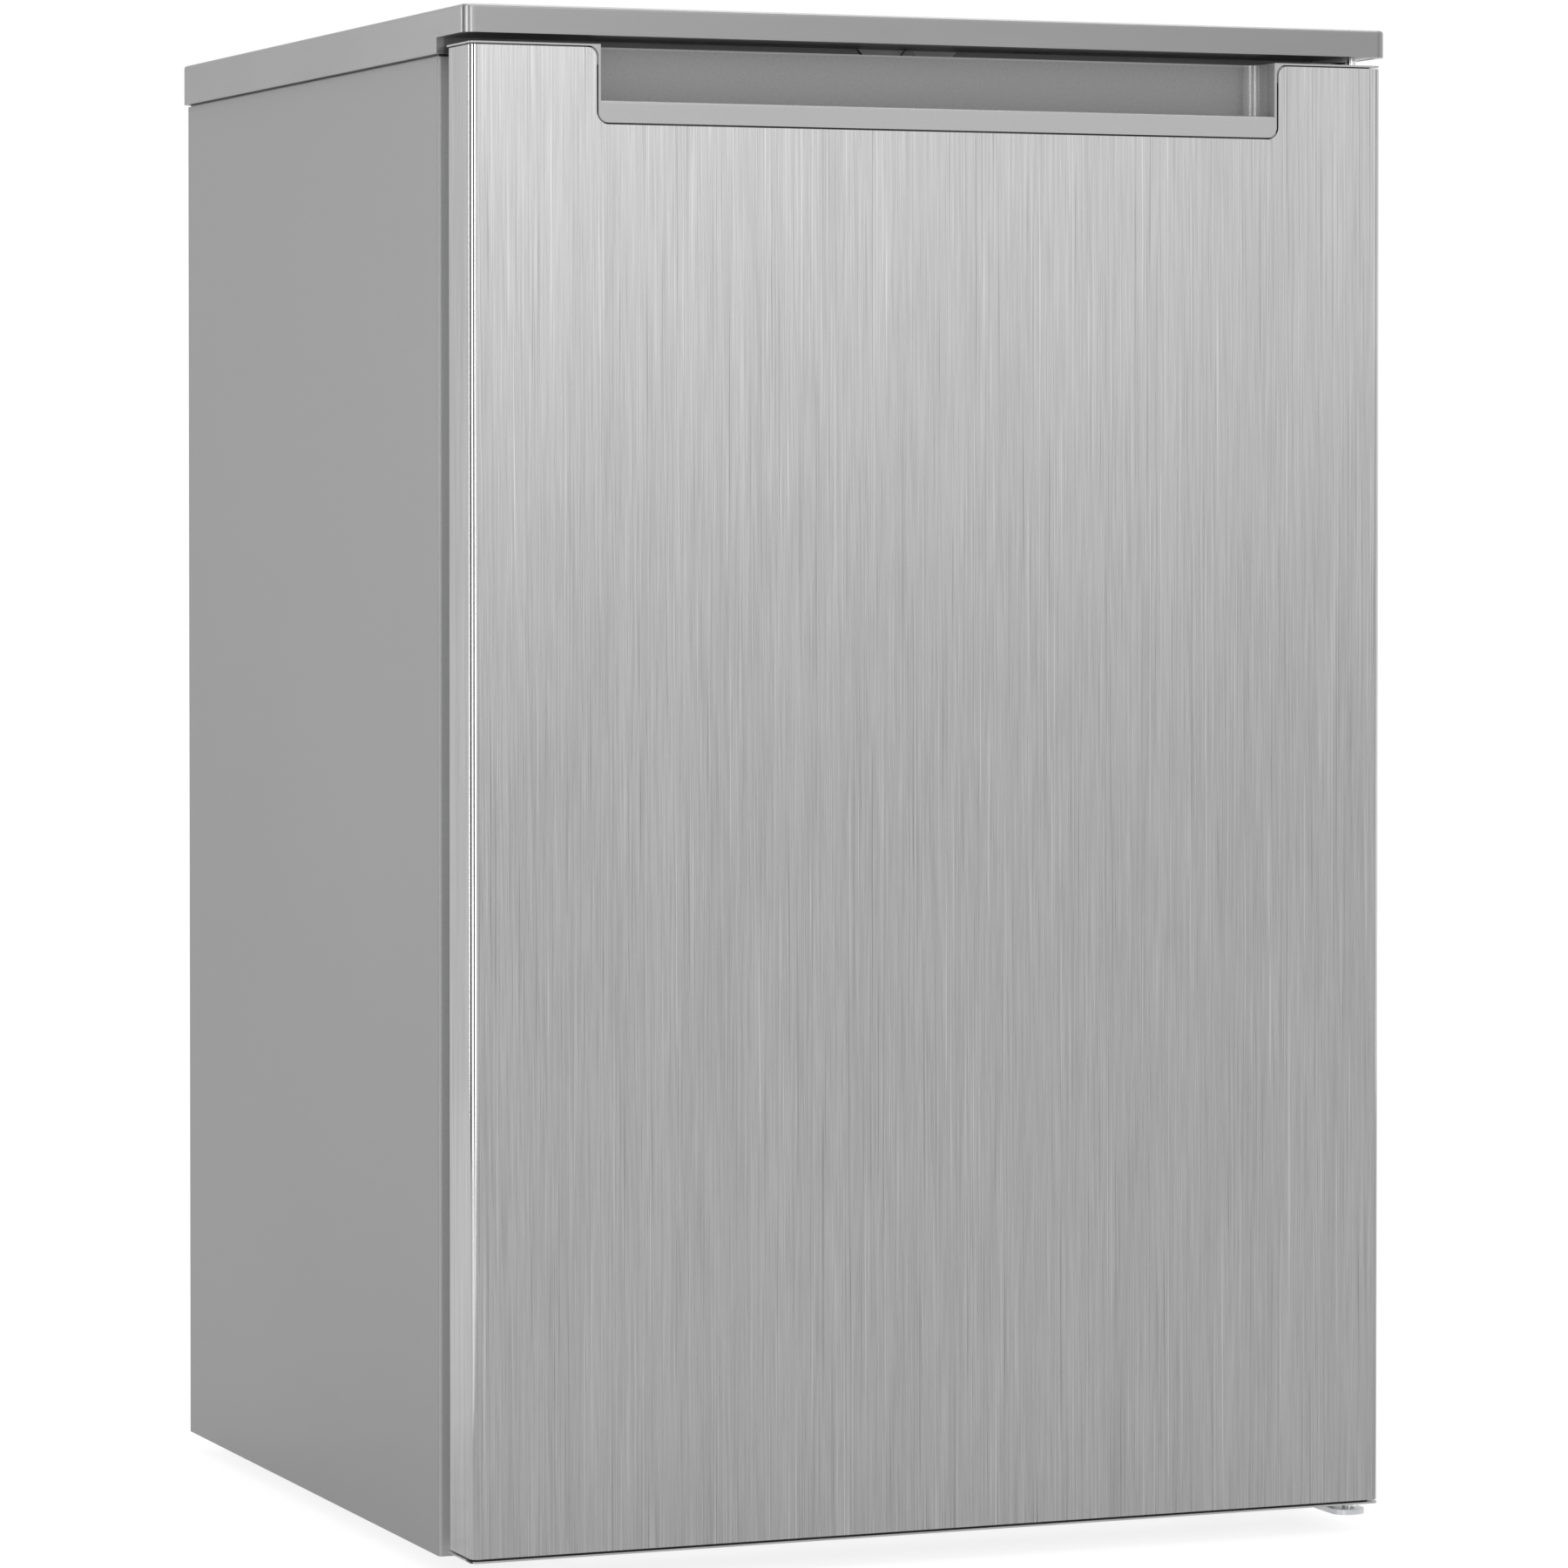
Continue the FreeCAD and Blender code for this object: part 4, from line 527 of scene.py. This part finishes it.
dial_ink, shader, place = finish("dial_ink", {})
grain = place.noise(2500.0)
feed(shader, {
    "Base Color": grain.ramp((0.3, 0.10), (0.7, 0.14)),
    "Roughness": grain * 0.2 + 0.4})
ticks = add_mesh("dial_marks", tick_marks, dial_ink)
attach(ticks, "cabinet")


# ---- lamp ----
# A small clear bulb behind a frosted, ribbed lens that clips into the control box.

frosted, shader, place = finish("frosted_lens", {
    "Transmission Weight": 0.75, "IOR": 1.49, "Roughness": 0.35})
rib = place.node("TexWave", {"bands_direction": "X"}, {"Vector": place, "Scale": 90.0})
feed(shader, {
    "Base Color": rib.ramp((0.0, (0.90, 0.90, 0.86)), (1.0, (0.97, 0.97, 0.94))),
    "Normal": rib.bump(0.6, 0.001)})
wear(frosted, "lamp_lens")

bulb_glass, shader, place = finish("bulb_glass", {
    "Transmission Weight": 0.9, "IOR": 1.45, "Emission Strength": 0.4})
haze = place.noise(80.0)
feed(shader, {
    "Base Color": haze.ramp((0.3, (0.95, 0.92, 0.84)), (0.7, (1.0, 0.97, 0.90))),
    "Emission Color": haze.ramp((0.3, (1.0, 0.80, 0.50)), (0.7, (1.0, 0.86, 0.62))),
    "Roughness": haze * 0.1 + 0.05})
wear(bulb_glass, "lamp_bulb")


# ---- shelves, crisper and bins ----
# Toughened glass shelves with a green tint, and clear moulded trays for the door and the crisper.

shelf_glass, shader, place = finish("shelf_glass", {
    "Transmission Weight": 1.0, "IOR": 1.5, "Roughness": 0.03})
smear = place.noise(14.0, 3.0)
feed(shader, {
    "Base Color": smear.ramp((0.3, (0.80, 0.93, 0.88)), (0.7, (0.86, 0.96, 0.92))),
    "Roughness": smear * 0.05 + 0.01})
wear(shelf_glass, "glass_shelf_1", "glass_shelf_2", "glass_shelf_3", "crisper_cover_glass")

clear_plastic, shader, place = finish("clear_plastic", {"Transmission Weight": 0.88, "IOR": 1.49})
swirl = place.noise(20.0, 3.0)
feed(shader, {
    "Base Color": swirl.ramp((0.3, (0.86, 0.91, 0.94)), (0.7, (0.93, 0.96, 0.98))),
    "Roughness": swirl * 0.08 + 0.06,
    "Normal": swirl.bump(0.05, 0.002)})
wear(clear_plastic, "crisper_drawer", "door_bin_low", "door_bin_high", "bottle_bin")


# ---- cold plate ----
# Two aluminium sheets rolled together with the refrigerant channel blown up between them.

cold_aluminium, shader, place = finish("cold_aluminium", {"Metallic": 1.0})
rolled = place.stretched((40.0, 40.0, 900.0)).noise(1.0, 3.0)
frost = place.noise(30.0, 4.0)
feed(shader, {
    "Base Color": (rolled * 0.5 + frost * 0.5).ramp((0.3, 0.62), (0.7, 0.78)),
    "Roughness": frost * 0.25 + 0.3,
    "Normal": rolled.bump(0.06, 0.0002)})
wear(cold_aluminium, "evaporator_plate")


# ---- hinges, screws and pins ----
# The hinge brackets are zinc plated steel, the screws the same gone dull, and the pins are ground and
# plated bright.

zinc, shader, place = finish("zinc", {"Metallic": 1.0})
cloudy = place.noise(90.0, 3.0)
feed(shader, {
    "Base Color": cloudy.ramp((0.3, (0.50, 0.51, 0.53)), (0.7, (0.66, 0.67, 0.68))),
    "Roughness": cloudy * 0.2 + 0.25,
    "Normal": place.noise(1500.0).bump(0.08, 0.0001)})
wear(zinc, "top_hinge_bracket", "bottom_hinge_bracket", "foot_inserts", "compressor_bolts")

dull_zinc, shader, place = finish("dull_zinc", {"Metallic": 1.0})
cloudy = place.noise(400.0, 3.0)
feed(shader, {
    "Base Color": cloudy.ramp((0.3, 0.20), (0.7, 0.28)),
    "Roughness": cloudy * 0.2 + 0.35,
    "Normal": place.noise(1500.0).bump(0.08, 0.0001)})
wear(dull_zinc, "screws")

bright_pin, shader, place = finish("bright_pin", {"Metallic": 1.0})
turning = place.stretched((1.0, 1.0, 3000.0)).noise(1.0, 2.0)
feed(shader, {
    "Base Color": turning.ramp((0.3, 0.78), (0.7, 0.86)),
    "Roughness": turning * 0.08 + 0.10,
    "Normal": turning.bump(0.03, 0.0001)})
wear(bright_pin, "top_hinge_pin", "bottom_hinge_pin")


# ---- feet, gland and black plastics ----
# The feet, drip tray, terminal box and condenser clips are black moulded plastic; the gland and the
# compressor's mounts are black rubber.

black_plastic, shader, place = finish("black_plastic", {})
grit = place.noise(1400.0, 2.0)
feed(shader, {
    "Base Color": place.noise(18.0, 3.0).ramp((0.3, 0.018), (0.7, 0.035)),
    "Roughness": grit * 0.25 + 0.38,
    "Normal": grit.bump(0.2, 0.0003)})
wear(black_plastic, "rear_feet", "foot_left", "foot_right", "compressor_terminal_box",
     "evaporation_tray", "condenser_brackets")

rubber, shader, place = finish("rubber", {})
bloom = place.noise(45.0, 3.0)
feed(shader, {
    "Base Color": bloom.ramp((0.3, 0.016), (0.7, 0.045)),
    "Roughness": bloom * 0.2 + 0.65,
    "Normal": place.noise(700.0).bump(0.2, 0.0003)})
wear(rubber, "cord_gland", "compressor_grommets")


# ---- compressor and condenser ----
# The compressor is a welded can and the condenser a bent steel tube with wires welded across it,
# both dipped in black enamel. The drier and the short lines are bare copper.

black_enamel, shader, place = finish("black_enamel", {"Coat Weight": 0.4, "Coat Roughness": 0.2})
dust = place.noise(30.0, 5.0)
run = place.noise(300.0)
feed(shader, {
    "Base Color": dust.ramp((0.4, 0.012), (0.75, 0.06)),
    "Roughness": dust * 0.4 + 0.18,
    "Normal": run.bump(0.08, 0.0004)})
wear(black_enamel, "compressor_shell", "condenser_tube", "condenser_wires")

copper, shader, place = finish("copper", {"Metallic": 1.0})
tarnish = place.noise(55.0, 4.0)
feed(shader, {
    "Base Color": tarnish.ramp((0.3, (0.42, 0.20, 0.11)), (0.6, (0.78, 0.43, 0.28))),
    "Roughness": tarnish * 0.3 + 0.2,
    "Normal": place.noise(500.0).bump(0.05, 0.0002)})
wear(copper, "filter_drier", "refrigerant_lines")
